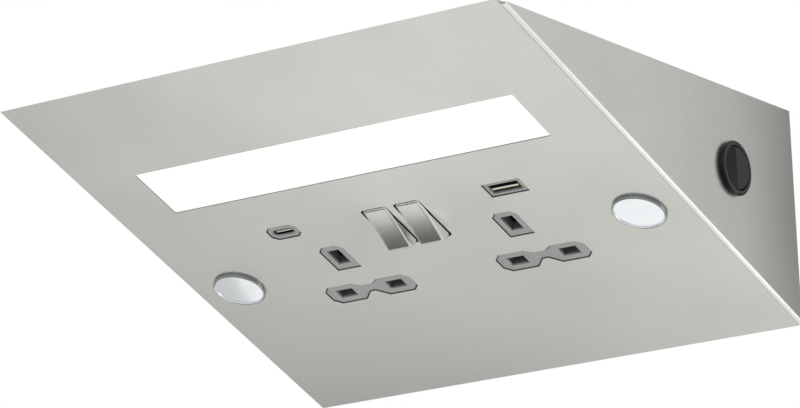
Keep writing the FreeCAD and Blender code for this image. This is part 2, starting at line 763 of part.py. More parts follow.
def light_tray():
    """An open sheet tray behind the diffuser, with an ear at each end."""
    start = FASCIA_SHEET + DIFFUSER_FLANGE
    end = start + TRAY_DEPTH
    outer = (LIGHT_LENGTH + 2 * DIFFUSER_MARGIN, LIGHT_WIDTH + 2 * DIFFUSER_MARGIN)
    inner = (outer[0] - 2 * TRAY_SHEET, outer[1] - 2 * TRAY_SHEET)
    hollow = centred((0, LIGHT_V), inner, (start, end - TRAY_SHEET))
    shell = centred((0, LIGHT_V), outer, (start, end)).cut(hollow)
    ears = [centred(c, (TRAY_EAR, TRAY_EAR_WIDTH), (start, start + TRAY_SHEET)) for c in tray_studs()]
    through = (start - OVERCUT, start + TRAY_SHEET + OVERCUT)
    holes = [rod(c, STUD_RADIUS + SEAT_GAP, through) for c in tray_studs()]
    return on_panel(without(joined([shell] + ears), holes))


def light_board():
    """Circuit board on the floor of the tray."""
    end = FASCIA_SHEET + DIFFUSER_FLANGE + TRAY_DEPTH - TRAY_SHEET
    return on_panel(centred((0, LIGHT_V), (LIGHT_BOARD_LENGTH, LIGHT_BOARD_WIDTH), (end - BOARD, end)))


def light_chips():
    """A row of light chips on the board."""
    end = FASCIA_SHEET + DIFFUSER_FLANGE + TRAY_DEPTH - TRAY_SHEET - BOARD
    z = (end - CHIP_HEIGHT, end)
    first = -CHIP_PITCH * (CHIP_COUNT - 1) / 2
    places = [(first + CHIP_PITCH * step, LIGHT_V) for step in range(CHIP_COUNT)]
    return on_panel(Part.makeCompound([centred(c, (CHIP_SIZE, CHIP_SIZE), z) for c in places]))


def tray_nuts():
    """Nuts that hold the tray and the diffuser on the fascia's studs."""
    start = FASCIA_SHEET + DIFFUSER_FLANGE + TRAY_SHEET
    nuts = [nut(c, NUT_WIDTH, STUD_RADIUS + SEAT_GAP, (start, start + NUT_HEIGHT)) for c in tray_studs()]
    return on_panel(Part.makeCompound(nuts))


def driver_screw_places():
    """Places along x of the two driver screws."""
    reach = (DRIVER_LENGTH + DRIVER_EAR) / 2
    return [DRIVER_X - reach, DRIVER_X + reach]


def driver_hole(x, radius):
    """A cylinder along y through the back sheet at a driver screw."""
    start = Vector(x, WALL_Y - DRIVER_DEPTH, -DRIVER_DROP - DRIVER_HEIGHT / 2)
    return Part.makeCylinder(radius, 2 * DRIVER_DEPTH, start, Vector(0, 1, 0))


def light_driver():
    """The light's supply, with an ear at each end against the back sheet."""
    seat = WALL_Y - BOX_SHEET
    half = DRIVER_LENGTH / 2
    reach = half + DRIVER_EAR
    z = (-DRIVER_DROP - DRIVER_HEIGHT, -DRIVER_DROP)
    body = block((DRIVER_X - half, DRIVER_X + half), (seat - DRIVER_DEPTH, seat), z)
    ears = block((DRIVER_X - reach, DRIVER_X + reach), (seat - DRIVER_EAR_THICKNESS, seat), z)
    holes = [driver_hole(x, SMALL_SCREW_RADIUS + SEAT_GAP) for x in driver_screw_places()]
    return without(joined([body, ears]), holes)


def driver_screws():
    """Screws through the driver's ears into the back sheet."""
    seat = WALL_Y - BOX_SHEET - DRIVER_EAR_THICKNESS
    middle = -DRIVER_DROP - DRIVER_HEIGHT / 2
    length = WALL_Y - seat - NEST_GAP
    screws = []
    for x in driver_screw_places():
        start = Vector(x, seat, middle)
        head = Part.makeCylinder(SMALL_HEAD_RADIUS, SMALL_HEAD_HEIGHT, start, Vector(0, -1, 0))
        shank = Part.makeCylinder(SMALL_SCREW_RADIUS, length, start, Vector(0, 1, 0))
        screws.append(joined([head, shank]))
    return Part.makeCompound(screws)


# Twin socket mouldings

def spring_run():
    """Start and end along the slope of the shutter springs."""
    return (SHUTTER_TOP_V + TAB_THICKNESS, SHUTTER_LOW_V - POST_THICKNESS)


def module_screw_places():
    """Centres of the screws through the corners of the rear housing."""
    reach = BASE_HALF_WIDTH - BOSS_INSET
    rows = (BASE_TOP_V + BOSS_INSET, BASE_LOW_V - BOSS_INSET)
    return [(side * reach, v) for side in (-1, 1) for v in rows]


def usb_tunnels():
    """Openings in the front moulding for the two ports."""
    gap_a = USB_A_SHELL + PORT_GAP
    shell = (USB_A_OPENING[0] + 2 * gap_a, USB_A_OPENING[1] + 2 * gap_a)
    back = FRONT_BACK + OVERCUT
    mouth = centred((USB_A_X, USB_V), USB_A_OPENING, (-OVERCUT, back))
    seat = centred((USB_A_X, USB_V), shell, (USB_A_LIP_END, back))
    gap_c = USB_C_SHELL + PORT_GAP
    size_c = (USB_C_OPENING[0] + 2 * gap_c, USB_C_OPENING[1] + 2 * gap_c)
    return [mouth, seat, obround((USB_C_X, USB_V), size_c, (-OVERCUT, back))]


def rocker_collar():
    """A frame behind the rocker windows that carries the pivots."""
    width = ROCKER_PITCH + ROCKER_WINDOW_WIDTH + 2 * COLLAR_WALL
    return centred((0, ROCKER_V), (width, ROCKER_WINDOW_LENGTH + 2 * COLLAR_WALL), (FASCIA_SHEET, COLLAR_END))


def pivot_bores():
    """Bores in the collar for the rocker stubs."""
    bores = []
    reach = ROCKER_WINDOW_WIDTH / 2 + PIVOT_REACH + PIVOT_GAP
    radius = PIVOT_RADIUS + PIVOT_GAP
    for x in ROCKERS:
        bores.append(pin_along_x((x - reach, x + reach), ROCKER_V, ROCKER_PIVOT_DEPTH, radius))
    return bores


def board_grooves():
    """Pairs of ribs behind the front moulding that hold the edges of the USB boards."""
    ribs = []
    for low, high in ((-BOARD_OUTER_X, -BOARD_INNER_X), (BOARD_INNER_X, BOARD_OUTER_X)):
        for start in (BOARD_V - SEAT_GAP - GROOVE_RIB, BOARD_V + BOARD + SEAT_GAP):
            ribs.append(block((low, high), (start, start + GROOVE_RIB), (FRONT_BACK, GROOVE_END)))
    return ribs


def shutter_guides():
    """Ribs on both sides of each shutter and the post its spring stands on."""
    run = (SHUTTER_TOP_V, SHUTTER_LOW_V + SHUTTER_TRAVEL)
    post_half = SHUTTER_FORK_HALF_WIDTH - RUN_GAP
    post_v = (SHUTTER_LOW_V - POST_THICKNESS, SHUTTER_LOW_V)
    post_end = SPRING_DEPTH + SPRING_RADIUS
    parts = []
    for x in SOCKETS:
        for side in (-1, 1):
            inner = x + side * (SHUTTER_HALF_WIDTH + RUN_GAP)
            rib = sorted((inner, inner + side * GUIDE_RIB))
            parts.append(block(rib, run, (FRONT_BACK, FRONT_BACK + GUIDE_DEPTH)))
        parts.append(block((x - post_half, x + post_half), post_v, (FRONT_BACK, post_end)))
    return parts


def socket_front():
    """Grey moulding that fills the windows and carries rockers, shutters and boards."""
    fills = [softened(shape) for shape in insert_shapes(WINDOW_GAP, (INSERT_RECESS, FASCIA_SHEET))]
    across = (-FRONT_HALF_WIDTH, FRONT_HALF_WIDTH)
    plate = block(across, (FRONT_TOP_V, FRONT_LOW_V), (FASCIA_SHEET, FRONT_BACK))
    solid = joined([plate, rocker_collar()] + fills + board_grooves() + shutter_guides())
    back = FRONT_BACK + OVERCUT
    cuts = [rocker_window(x, (0, COLLAR_END + OVERCUT)) for x in ROCKERS]
    cuts += pin_slots((-OVERCUT, back)) + usb_tunnels() + pivot_bores()
    cuts += [rod(c, STUD_RADIUS + SEAT_GAP, (0, back)) for c in module_studs()]
    pilot = (FRONT_BACK - MODULE_SCREW_BITE - RUN_GAP, back)
    cuts += [rod(c, MODULE_SCREW_RADIUS + SEAT_GAP, pilot) for c in module_screw_places()]
    return on_panel(without(solid, cuts))


def base_outline(wall, z):
    """The T-shaped outline of the rear housing, drawn in by a wall."""
    half = BASE_HALF_WIDTH - wall
    neck = BASE_NECK_HALF_WIDTH - wall
    body = block((-half, half), (BASE_TOP_V + wall, BASE_LOW_V - wall), z)
    return body.fuse(block((-neck, neck), (BASE_NECK_TOP_V + wall, BASE_LOW_V - wall), z))


def bar_posts():
    """Posts from the floor of the rear housing up to the bars."""
    floor = BASE_BACK - BASE_WALL / 2
    live = (LIVE_BAR_DEPTH + BAR, floor)
    posts = [centred((x + PIN_SPACING / 2, (EARTH_BAR_V + LIVE_V) / 2), LIVE_POST, live) for x in SOCKETS]
    for side in (-1, 1):
        posts.append(centred((side * run_x(), LIVE_RUN_V), STRIP_POST, live))
        posts.append(centred((side * EARTH_POST_X, EARTH_BAR_V), BUS_POST, (EARTH_BAR_DEPTH + BAR, floor)))
        posts.append(centred((side * NEUTRAL_POST_X, LIVE_V), BUS_POST, (NEUTRAL_BAR_DEPTH + BAR, floor)))
        posts.append(centred((side * ROCKER_PITCH / 2, ROCKER_V), FEED_POST, (FEED_BAR_DEPTH + BAR, floor)))
    return posts


def socket_base():
    """Rear housing of the twin socket, open towards the front moulding."""
    floor = BASE_BACK - BASE_WALL
    room = base_outline(BASE_WALL, (FRONT_BACK - OVERCUT, floor))
    shell = base_outline(0, (FRONT_BACK, BASE_BACK)).cut(room)
    bosses = [rod(c, BOSS_RADIUS, (FRONT_BACK, BASE_BACK - BASE_WALL / 2)) for c in module_screw_places()]
    solid = joined([shell] + bosses + bar_posts())
    hole = TERMINAL_SIZE + 2 * RUN_GAP
    cuts = [centred(c, (hole, hole), (floor - OVERCUT, BASE_BACK + OVERCUT)) for c in terminal_places()]
    through = (0, BASE_BACK + OVERCUT)
    cuts += [rod(c, MODULE_SCREW_RADIUS + SEAT_GAP, through) for c in module_screw_places()]
    return on_panel(without(solid, cuts))


def module_screws():
    """Screws from the back of the rear housing into the front moulding."""
    head_end = BASE_BACK + SMALL_HEAD_HEIGHT
    screws = []
    for c in module_screw_places():
        head = rod(c, SMALL_HEAD_RADIUS, (BASE_BACK, head_end))
        shank = rod(c, MODULE_SCREW_RADIUS, (FRONT_BACK - MODULE_SCREW_BITE, head_end))
        screws.append(joined([head, shank]))
    return on_panel(Part.makeCompound(screws))


def panel_nuts():
    """Nuts that hold the front moulding on the fascia's studs."""
    z = (FRONT_BACK, FRONT_BACK + NUT_HEIGHT)
    nuts = [nut(c, NUT_WIDTH, STUD_RADIUS + SEAT_GAP, z) for c in module_studs()]
    return on_panel(Part.makeCompound(nuts))


# Shutters

def shutter(x):
    """A sliding plate that closes the live and neutral slots until the earth pin moves it."""
    z = (FRONT_BACK + RUN_GAP, FRONT_BACK + RUN_GAP + SHUTTER_THICKNESS)
    plate = block((x - SHUTTER_HALF_WIDTH, x + SHUTTER_HALF_WIDTH), (SHUTTER_TOP_V, SHUTTER_LOW_V), z)
    slot_top = EARTH_V - EARTH_SLOT_HEIGHT / 2
    slot_low = EARTH_V + EARTH_SLOT_HEIGHT / 2
    eye_top = slot_top - SHUTTER_TRAVEL - SHUTTER_HOLE_MARGIN
    half = SHUTTER_ARM_HALF_WIDTH
    arm = block((x - half, x + half), (eye_top - TAB_THICKNESS, SHUTTER_TOP_V), z)
    eye_low = slot_low + SHUTTER_HOLE_MARGIN
    ramp_end = RAMP_START + RAMP_REACH
    ramp_back = ramp_end + RAMP_BACK
    ramp = [(eye_low, z[1]), (eye_low, RAMP_START), (eye_low - RAMP_REACH, ramp_end),
            (eye_low - RAMP_REACH, ramp_back), (eye_low + TAB_THICKNESS, ramp_back),
            (eye_low + TAB_THICKNESS, z[1])]
    ramp_half = EARTH_SLOT_WIDTH / 2 + SHUTTER_HOLE_MARGIN
    ramp_solid = side_slab(ramp, (x - ramp_half, x + ramp_half))
    tab_half = SHUTTER_FORK_HALF_WIDTH - RUN_GAP
    tab_v = (SHUTTER_TOP_V, SHUTTER_TOP_V + TAB_THICKNESS)
    tab = block((x - tab_half, x + tab_half), tab_v, (z[0], SPRING_DEPTH + SPRING_RADIUS))
    through = (z[0] - OVERCUT, z[1] + OVERCUT)
    fork = (x - SHUTTER_FORK_HALF_WIDTH, x + SHUTTER_FORK_HALF_WIDTH)
    cuts = [block(fork, (tab_v[1], SHUTTER_LOW_V + OVERCUT), through)]
    cuts.append(block((x - ramp_half, x + ramp_half), (eye_top, eye_low), through))
    size = (SLOT_WIDTH + 2 * SHUTTER_HOLE_MARGIN, SLOT_HEIGHT + SHUTTER_HOLE_MARGIN)
    for side in (-1, 1):
        cuts.append(centred((x + side * PIN_SPACING / 2, LIVE_V - SHUTTER_TRAVEL), size, through))
    return on_panel(joined([without(joined([plate, arm, ramp_solid]), cuts), tab]))


def shutter_spring(x):
    """The spring between a shutter's tab and the post on the front moulding."""
    start, end = spring_run()
    length = end - start - 2 * SEAT_GAP
    spring = coil(SPRING_RADIUS - SPRING_WIRE, SPRING_WIRE, length, SPRING_TURNS)
    return on_panel(tilted(spring, Vector(x, start + SEAT_GAP, SPRING_DEPTH), -90))


# Contacts

def terminal_places():
    """Centres of the live, earth and neutral terminals down the middle of the module."""
    return [(0, ROCKER_V), (0, EARTH_BAR_V), (0, LIVE_V)]


def terminal(centre, start):
    """A terminal post with a cross hole for the wire and a bore for its screw."""
    post = centred(centre, (TERMINAL_SIZE, TERMINAL_SIZE), (start, TERMINAL_END))
    reach = TERMINAL_SIZE / 2 + OVERCUT
    across = (centre[0] - reach, centre[0] + reach)
    wire = pin_along_x(across, centre[1], WIRE_HOLE_DEPTH, WIRE_HOLE_RADIUS)
    bore = rod(centre, TERMINAL_SCREW_RADIUS + SEAT_GAP, (WIRE_HOLE_DEPTH, TERMINAL_END + OVERCUT))
    return without(post, [wire, bore])


def terminal_screws():
    """Screws that clamp the wires in the three terminals."""
    head_end = TERMINAL_END + TERMINAL_HEAD_HEIGHT
    screws = []
    for c in terminal_places():
        head = rod(c, TERMINAL_HEAD_RADIUS, (TERMINAL_END, head_end))
        screws.append(joined([head, rod(c, TERMINAL_SCREW_RADIUS, (TERMINAL_SCREW_TIP, head_end))]))
    return on_panel(Part.makeCompound(screws))


def flat_leaves(centre, z):
    """Two leaves that grip a live or neutral pin on its flat faces."""
    reach = (LEAF_GAP + LEAF) / 2
    return [centred((centre[0], centre[1] + side * reach), (LEAF_WIDTH, LEAF), z) for side in (-1, 1)]


def run_x():
    """Distance from the middle to the strip that leads up to a fixed contact."""
    return ROCKER_PITCH / 2 + ARM_WIDTH / 2 + BAR_WIDTH / 2 + RUN_GAP


def live_contact(socket_x, rocker_x):
    """Live clip of one socket, its strip, and the rivet that the see-saw closes on."""
    z = (LIVE_BAR_DEPTH, LIVE_BAR_DEPTH + BAR)
    clip_x = socket_x + PIN_SPACING / 2
    half = BAR_WIDTH / 2
    side = 1 if rocker_x > 0 else -1
    lead_x = side * run_x()
    rivet_v = ROCKER_V - RIVET_OFFSET
    strips = [centred((clip_x, LIVE_V), (LEAF_WIDTH, LEAF_GAP + 2 * LEAF), z)]
    strips.append(block((clip_x - half, clip_x + half), (LIVE_RUN_V - half, LIVE_V), z))
    across = sorted((clip_x, lead_x))
    strips.append(block((across[0] - half, across[1] + half), (LIVE_RUN_V - half, LIVE_RUN_V + half), z))
    strips.append(block((lead_x - half, lead_x + half), (rivet_v - half, LIVE_RUN_V + half), z))
    inward = sorted((lead_x, rocker_x))
    strips.append(block((inward[0] - half, inward[1] + half), (rivet_v - half, rivet_v + half - RUN_GAP), z))
    tilt = math.radians(ARM_TILT)
    drop = ARM_THICKNESS / 2 / math.cos(tilt) + (RIVET_OFFSET + RIVET_RADIUS) * math.tan(tilt)
    arm_under = ARM_DEPTH + drop
    rivet = rod((rocker_x, rivet_v), RIVET_RADIUS, (arm_under + RIVET_GAP, z[0] + BAR / 2))
    leaves = flat_leaves((clip_x, LIVE_V), (LIVE_LEAF_START, z[1]))
    return on_panel(joined(strips + leaves + [rivet]))


def neutral_bar():
    """Both neutral clips on one bar, with its terminal."""
    z = (NEUTRAL_BAR_DEPTH, NEUTRAL_BAR_DEPTH + BAR)
    clips = [x - PIN_SPACING / 2 for x in SOCKETS]
    reach = LEAF_GAP / 2 + LEAF
    bar_v = (LIVE_V - reach, LIVE_V + reach)
    bar = block((clips[0] - LEAF_WIDTH / 2, clips[1] + LEAF_WIDTH / 2), bar_v, z)
    leaves = []
    for x in clips:
        leaves += flat_leaves((x, LIVE_V), (LIVE_LEAF_START, z[1]))
    return on_panel(joined([bar] + leaves + [terminal((0, LIVE_V), z[1] - BAR / 2)]))


def earth_bar():
    """Both earth clips on one bar, with its terminal."""
    z = (EARTH_BAR_DEPTH, EARTH_BAR_DEPTH + BAR)
    reach = LEAF_GAP / 2 + LEAF
    bar_v = (EARTH_BAR_V - BAR_WIDTH / 2, EARTH_BAR_V + BAR_WIDTH / 2)
    parts = [block((SOCKETS[0] - reach, SOCKETS[1] + reach), bar_v, z)]
    for x in SOCKETS:
        parts.append(block((x - reach, x + reach), (EARTH_V - EARTH_LEAF_WIDTH / 2, EARTH_BAR_V), z))
        for side in (-1, 1):
            leaf_x = x + side * (LEAF_GAP + LEAF) / 2
            parts.append(centred((leaf_x, EARTH_V), (LEAF, EARTH_LEAF_WIDTH), (EARTH_LEAF_START, z[1])))
    return on_panel(joined(parts + [terminal((0, EARTH_BAR_V), z[1] - BAR / 2)]))


def live_bar():
    """The supply side: a bar with an upright for each see-saw and the live terminal."""
    z = (FEED_BAR_DEPTH, FEED_BAR_DEPTH + BAR)
    reach = ROCKER_PITCH / 2 + ARM_WIDTH / 2
    parts = [block((-reach, reach), (ROCKER_V - BAR_WIDTH / 2, ROCKER_V + BAR_WIDTH / 2), z)]
    top = ARM_DEPTH + ARM_THICKNESS / 2 + FULCRUM_GAP
    for x in ROCKERS:
        parts.append(centred((x, ROCKER_V), (FULCRUM_WIDTH, ARM_THICKNESS), (top, z[1])))
    return on_panel(joined(parts + [terminal((0, ROCKER_V), z[1] - BAR / 2)]))


def contact_arm(x):
    """The see-saw that the rocker's plunger tips."""
    half = ARM_THICKNESS / 2
    plate = block((-ARM_WIDTH / 2, ARM_WIDTH / 2), (-ARM_HALF_LENGTH, ARM_HALF_LENGTH), (-half, half))
    return on_panel(tilted(plate, Vector(x, ROCKER_V, ARM_DEPTH), ARM_TILT))


# Socket rockers, drawn about their pivot with z into the unit

def rocker_drum(radius, half_width, low):
    """The rocker's outline: a drum about the pivot with a flat face."""
    drum = pin_along_x((-half_width, half_width), 0, 0, radius)
    keep = block((-half_width, half_width), (-radius, radius), (-radius, low))
    return drum.common(keep)


def rocker_dish(half_width, inset):
    """The cylinder that hollows the rocker's face, or a face this far under it."""
    centre = ROCKER_DISH - ROCKER_FACE - DISH_RADIUS
    return pin_along_x((-half_width, half_width), 0, centre, DISH_RADIUS + inset)


def rocker_blank(half_width, inset, low):
    """The rocker's drum with its hollow face, drawn in by an inset and rounded at the rim."""
    radius = math.hypot(ROCKER_HALF_LENGTH, ROCKER_FACE) - inset
    top = inset - ROCKER_FACE
    body = rocker_drum(radius, half_width, low)
    body = body.common(block((-half_width, half_width), (-radius, radius), (top, low)))
    body = body.cut(rocker_dish(half_width + OVERCUT, inset))
    limit = top + ROCKER_DISH + OVERCUT / 2
    corners = [edge for edge in body.Edges if abs(edge.CenterOfMass.x) > half_width - SEAT_GAP
               and min(v.Z for v in edge.Vertexes) < limit < max(v.Z for v in edge.Vertexes)]
    body = body.makeFillet(ROCKER_CORNER - inset, corners)
    rim = [edge for edge in body.Edges if all(v.Z < limit for v in edge.Vertexes)
           and max(abs(v.Y) for v in edge.Vertexes) > radius / 2]
    return body.makeFillet(ROCKER_EDGE - inset, rim)


def rocker_place(x):
    """The pivot of one rocker in the panel frame."""
    return Vector(x, ROCKER_V, ROCKER_PIVOT_DEPTH)


def rocker_cap(x):
    """Drawn metal cap with a hollow face, arc ends and a skirt, notched for the pivots."""
    half = ROCKER_WIDTH / 2
    outer = rocker_blank(half, 0, -ROCKER_SKIRT_END)
    inner = rocker_blank(half - CAP_SHEET, CAP_SHEET, OVERCUT)
    notch = pin_along_x((-half - OVERCUT, half + OVERCUT), 0, 0, PIVOT_RADIUS + PIVOT_GAP)
    return on_panel(tilted(without(outer, [inner, notch]), rocker_place(x), -ROCKER_TILT))


def rocker_core(x):
    """Plastic body inside the cap, with pivot stubs and the plunger housing."""
    inset = CAP_SHEET + SEAT_GAP
    body = rocker_blank(ROCKER_WIDTH / 2 - inset, inset, CORE_LOW)
    reach = ROCKER_WINDOW_WIDTH / 2 + PIVOT_REACH
    stubs = pin_along_x((-reach, reach), 0, 0, PIVOT_RADIUS)
    housing = rod((0, 0), PLUNGER_HOUSING_RADIUS, (0, PLUNGER_HOUSING_END))
    bore = rod((0, 0), PLUNGER_RADIUS + PIVOT_GAP, (PLUNGER_BORE_TOP, PLUNGER_HOUSING_END + OVERCUT))
    return on_panel(tilted(joined([body, stubs, housing]).cut(bore), rocker_place(x), -ROCKER_TILT))


def rocker_plunger(x):
    """The sprung pin in the rocker that runs along the see-saw."""
    shank = rod((0, 0), PLUNGER_RADIUS, (PLUNGER_TOP, PLUNGER_TIP - PLUNGER_RADIUS))
    tip = Part.makeSphere(PLUNGER_RADIUS, Vector(0, 0, PLUNGER_TIP - PLUNGER_RADIUS))
    return on_panel(tilted(joined([shank, tip]), rocker_place(x), -ROCKER_TILT))


def rocker_spring(x):
    """The spring between the bottom of the bore and the plunger."""
    wire = PLUNGER_SPRING_WIRE
    length = PLUNGER_TOP - PLUNGER_BORE_TOP - 2 * SEAT_GAP
    spring = coil(PLUNGER_RADIUS - wire, wire, length, PLUNGER_SPRING_TURNS)
    spring.translate(Vector(0, 0, PLUNGER_BORE_TOP + SEAT_GAP))
    return on_panel(tilted(spring, rocker_place(x), -ROCKER_TILT))


# USB ports

def usb_a_shell():
    """Sheet tube behind the moulded mouth."""
    outer = (USB_A_OPENING[0] + 2 * USB_A_SHELL, USB_A_OPENING[1] + 2 * USB_A_SHELL)
    start = USB_A_LIP_END + SEAT_GAP
    z = (start, start + USB_A_LENGTH)
    return on_panel(centred((USB_A_X, USB_V), outer, z).cut(centred((USB_A_X, USB_V), USB_A_OPENING, z)))


def port_insulator(x, opening, shell, tongue, start, end):
    """Plastic body of a port: a tongue, a back block and a riser down to the board."""
    half_shell = opening[1] / 2 + shell
    back = (end + SEAT_GAP, end + SEAT_GAP + INSULATOR_BACK)
    board_face = BOARD_V + BOARD
    half = opening[0] / 2
    riser_half = half - RISER_INSET
    riser_v = (board_face, USB_V - half_shell - SEAT_GAP)
    parts = [centred((x, USB_V), tongue, (start, back[1]))]
    parts.append(block((x - half, x + half), (board_face, USB_V + half_shell), back))
    parts.append(block((x - riser_half, x + riser_half), riser_v, (GROOVE_END + RUN_GAP, back[1])))
    return joined(parts)


def usb_a_insulator():
    """Plastic body of the larger port."""
    end = USB_A_LIP_END + SEAT_GAP + USB_A_LENGTH
    solid = port_insulator(USB_A_X, USB_A_OPENING, USB_A_SHELL, USB_A_TONGUE, USB_A_TONGUE_START, end)
    return on_panel(solid)


def usb_a_pads():
    """Four contact strips on the face of the tongue."""
    end = USB_A_LIP_END + USB_A_LENGTH
    top = USB_V + USB_A_TONGUE[1] / 2
    first = USB_A_X - USB_A_PAD_PITCH * (USB_A_PADS - 1) / 2
    z = (USB_A_TONGUE_START + USB_A_PAD_START, end)
    pads = []
    for step in range(USB_A_PADS):
        middle = first + USB_A_PAD_PITCH * step
        across = (middle - USB_A_PAD[0] / 2, middle + USB_A_PAD[0] / 2)
        pads.append(block(across, (top, top + USB_A_PAD[1]), z))
    return on_panel(Part.makeCompound(pads))


def usb_c_shell():
    """Drawn tube with round ends that reaches the front of the insert."""
    outer = (USB_C_OPENING[0] + 2 * USB_C_SHELL, USB_C_OPENING[1] + 2 * USB_C_SHELL)
    z = (USB_C_START, USB_C_START + USB_C_LENGTH)
    return on_panel(obround((USB_C_X, USB_V), outer, z).cut(obround((USB_C_X, USB_V), USB_C_OPENING, z)))


def usb_c_insulator():
    """Plastic body of the smaller port."""
    end = USB_C_START + USB_C_LENGTH
    solid = port_insulator(USB_C_X, USB_C_OPENING, USB_C_SHELL, USB_C_TONGUE, USB_C_TONGUE_START, end)
    return on_panel(solid)


def usb_board(side):
    """Circuit board that stands in the grooves behind the front moulding."""
    across = sorted((side * BOARD_INNER_X, side * BOARD_OUTER_X))
    return on_panel(block(across, (BOARD_V, BOARD_V + BOARD), (BOARD_START, BOARD_END)))


def usb_transformer(side):
    """A ferrite core round a wound bobbin."""
    middle = (side * TRANSFORMER_X, BOARD_V + BOARD + TRANSFORMER_HEIGHT / 2)
    size = (TRANSFORMER_WIDTH, TRANSFORMER_HEIGHT)
    start = TRANSFORMER_START
    end = start + TRANSFORMER_LENGTH
    front = centred(middle, size, (start, start + CORE_PLATE))
    rear = centred(middle, size, (end - CORE_PLATE, end))
    bobbin = rod(middle, TRANSFORMER_HEIGHT / 2 - BOBBIN_INSET, (start, end))
    return on_panel(joined([front, rear, bobbin]))


def usb_capacitor(x):
    """A round capacitor that lies on the board."""
    centre = (x, BOARD_V + BOARD + CAPACITOR_RADIUS)
    return on_panel(rod(centre, CAPACITOR_RADIUS, (CAPACITOR_START, CAPACITOR_START + CAPACITOR_LENGTH)))


# Light switch, drawn in the cheek frame

def switch_blades(gap):
    """The two blade terminals, widened by a gap where they are used as cutters."""
    pivot_top = BUTTON_ARM_DEPTH + BUTTON_ARM_THICKNESS / 2 + FULCRUM_GAP
    drop = BLADE_OFFSET * math.sin(math.radians(BUTTON_ARM_TILT))
    size = (BLADE_WIDTH + 2 * gap, BLADE_THICKNESS + 2 * gap)
    middle = centred((0, 0), size, (pivot_top, BLADE_END))
    return [middle, centred((0, BLADE_OFFSET), size, (pivot_top + drop + RUN_GAP, BLADE_END))]


def light_switch_body():
    """Round housing with its bezel, snapped into the cheek."""
    bezel = rod((0, 0), BEZEL_RADIUS, (-BEZEL_HEIGHT, 0))
    bezel = bezel.makeFillet(BEZEL_EDGE, edges_at(bezel, -BEZEL_HEIGHT))
    barrel = rod((0, 0), BARREL_RADIUS, (0, BARREL_END))
    barb_z = (FASCIA_SHEET + NEST_GAP, FASCIA_SHEET + NEST_GAP + BARB_LENGTH)
    barbs = [centred((side * BARREL_RADIUS, 0), (2 * BARB, BARB_LENGTH), barb_z) for side in (-1, 1)]
    solid = joined([bezel, barrel] + barbs)
    reach = BUTTON_RADIUS + BUTTON_STUB_REACH + RUN_GAP
    cuts = [rod((0, 0), WELL_RADIUS, (-BEZEL_HEIGHT - OVERCUT, BARREL_END - BARREL_FLOOR))]
    cuts.append(pin_along_x((-reach, reach), 0, BUTTON_PIVOT_DEPTH, BUTTON_STUB_RADIUS + PIVOT_GAP))
    return on_cheek(without(solid, cuts + switch_blades(SEAT_GAP)))


def light_switch_blades():
    """The two blade terminals, the middle one with its top under the see-saw."""
    return on_cheek(Part.makeCompound(switch_blades(0)))


def button_place():
    """The pivot of the light switch's rocker in the cheek frame."""
    return Vector(0, 0, BUTTON_PIVOT_DEPTH)


def light_switch_rocker():
    """Round rocker with a shallow ridge across its pivot."""
    reach = BUTTON_RADIUS + OVERCUT
    fall = reach * math.tan(math.radians(BUTTON_RIDGE_ANGLE))
    roof = [(0, -BUTTON_RIDGE), (reach, fall - BUTTON_RIDGE), (reach, BUTTON_LOW), (-reach, BUTTON_LOW),
            (-reach, fall - BUTTON_RIDGE)]
    body = rod((0, 0), BUTTON_RADIUS, (-BUTTON_RIDGE, BUTTON_LOW)).common(side_slab(roof, (-reach, reach)))
    stub_reach = BUTTON_RADIUS + BUTTON_STUB_REACH
    stubs = pin_along_x((-stub_reach, stub_reach), 0, 0, BUTTON_STUB_RADIUS)
    boss = rod((0, 0), BUTTON_BOSS_RADIUS, (0, BUTTON_BOSS_END))
    bore = rod((0, 0), BUTTON_PLUNGER_RADIUS + PIVOT_GAP, (BUTTON_LOW, BUTTON_BOSS_END + OVERCUT))
    return on_cheek(tilted(joined([body, stubs, boss]).cut(bore), button_place(), -BUTTON_TILT))


def light_switch_plunger():
    """The pin in the light switch's rocker that runs along its see-saw."""
    radius = BUTTON_PLUNGER_RADIUS
    shank = rod((0, 0), radius, (BUTTON_LOW + SEAT_GAP, BUTTON_PLUNGER_TIP - radius))
    tip = Part.makeSphere(radius, Vector(0, 0, BUTTON_PLUNGER_TIP - radius))
    return on_cheek(tilted(joined([shank, tip]), button_place(), -BUTTON_TILT))


def light_switch_contact():
    """The see-saw inside the light switch."""
    half = BUTTON_ARM_THICKNESS / 2
    across = (-BUTTON_ARM_WIDTH / 2, BUTTON_ARM_WIDTH / 2)
    plate = block(across, (-BUTTON_ARM_HALF_LENGTH, BUTTON_ARM_HALF_LENGTH), (-half, half))
    return on_cheek(tilted(plate, Vector(0, 0, BUTTON_ARM_DEPTH), BUTTON_ARM_TILT))


# Every node by name

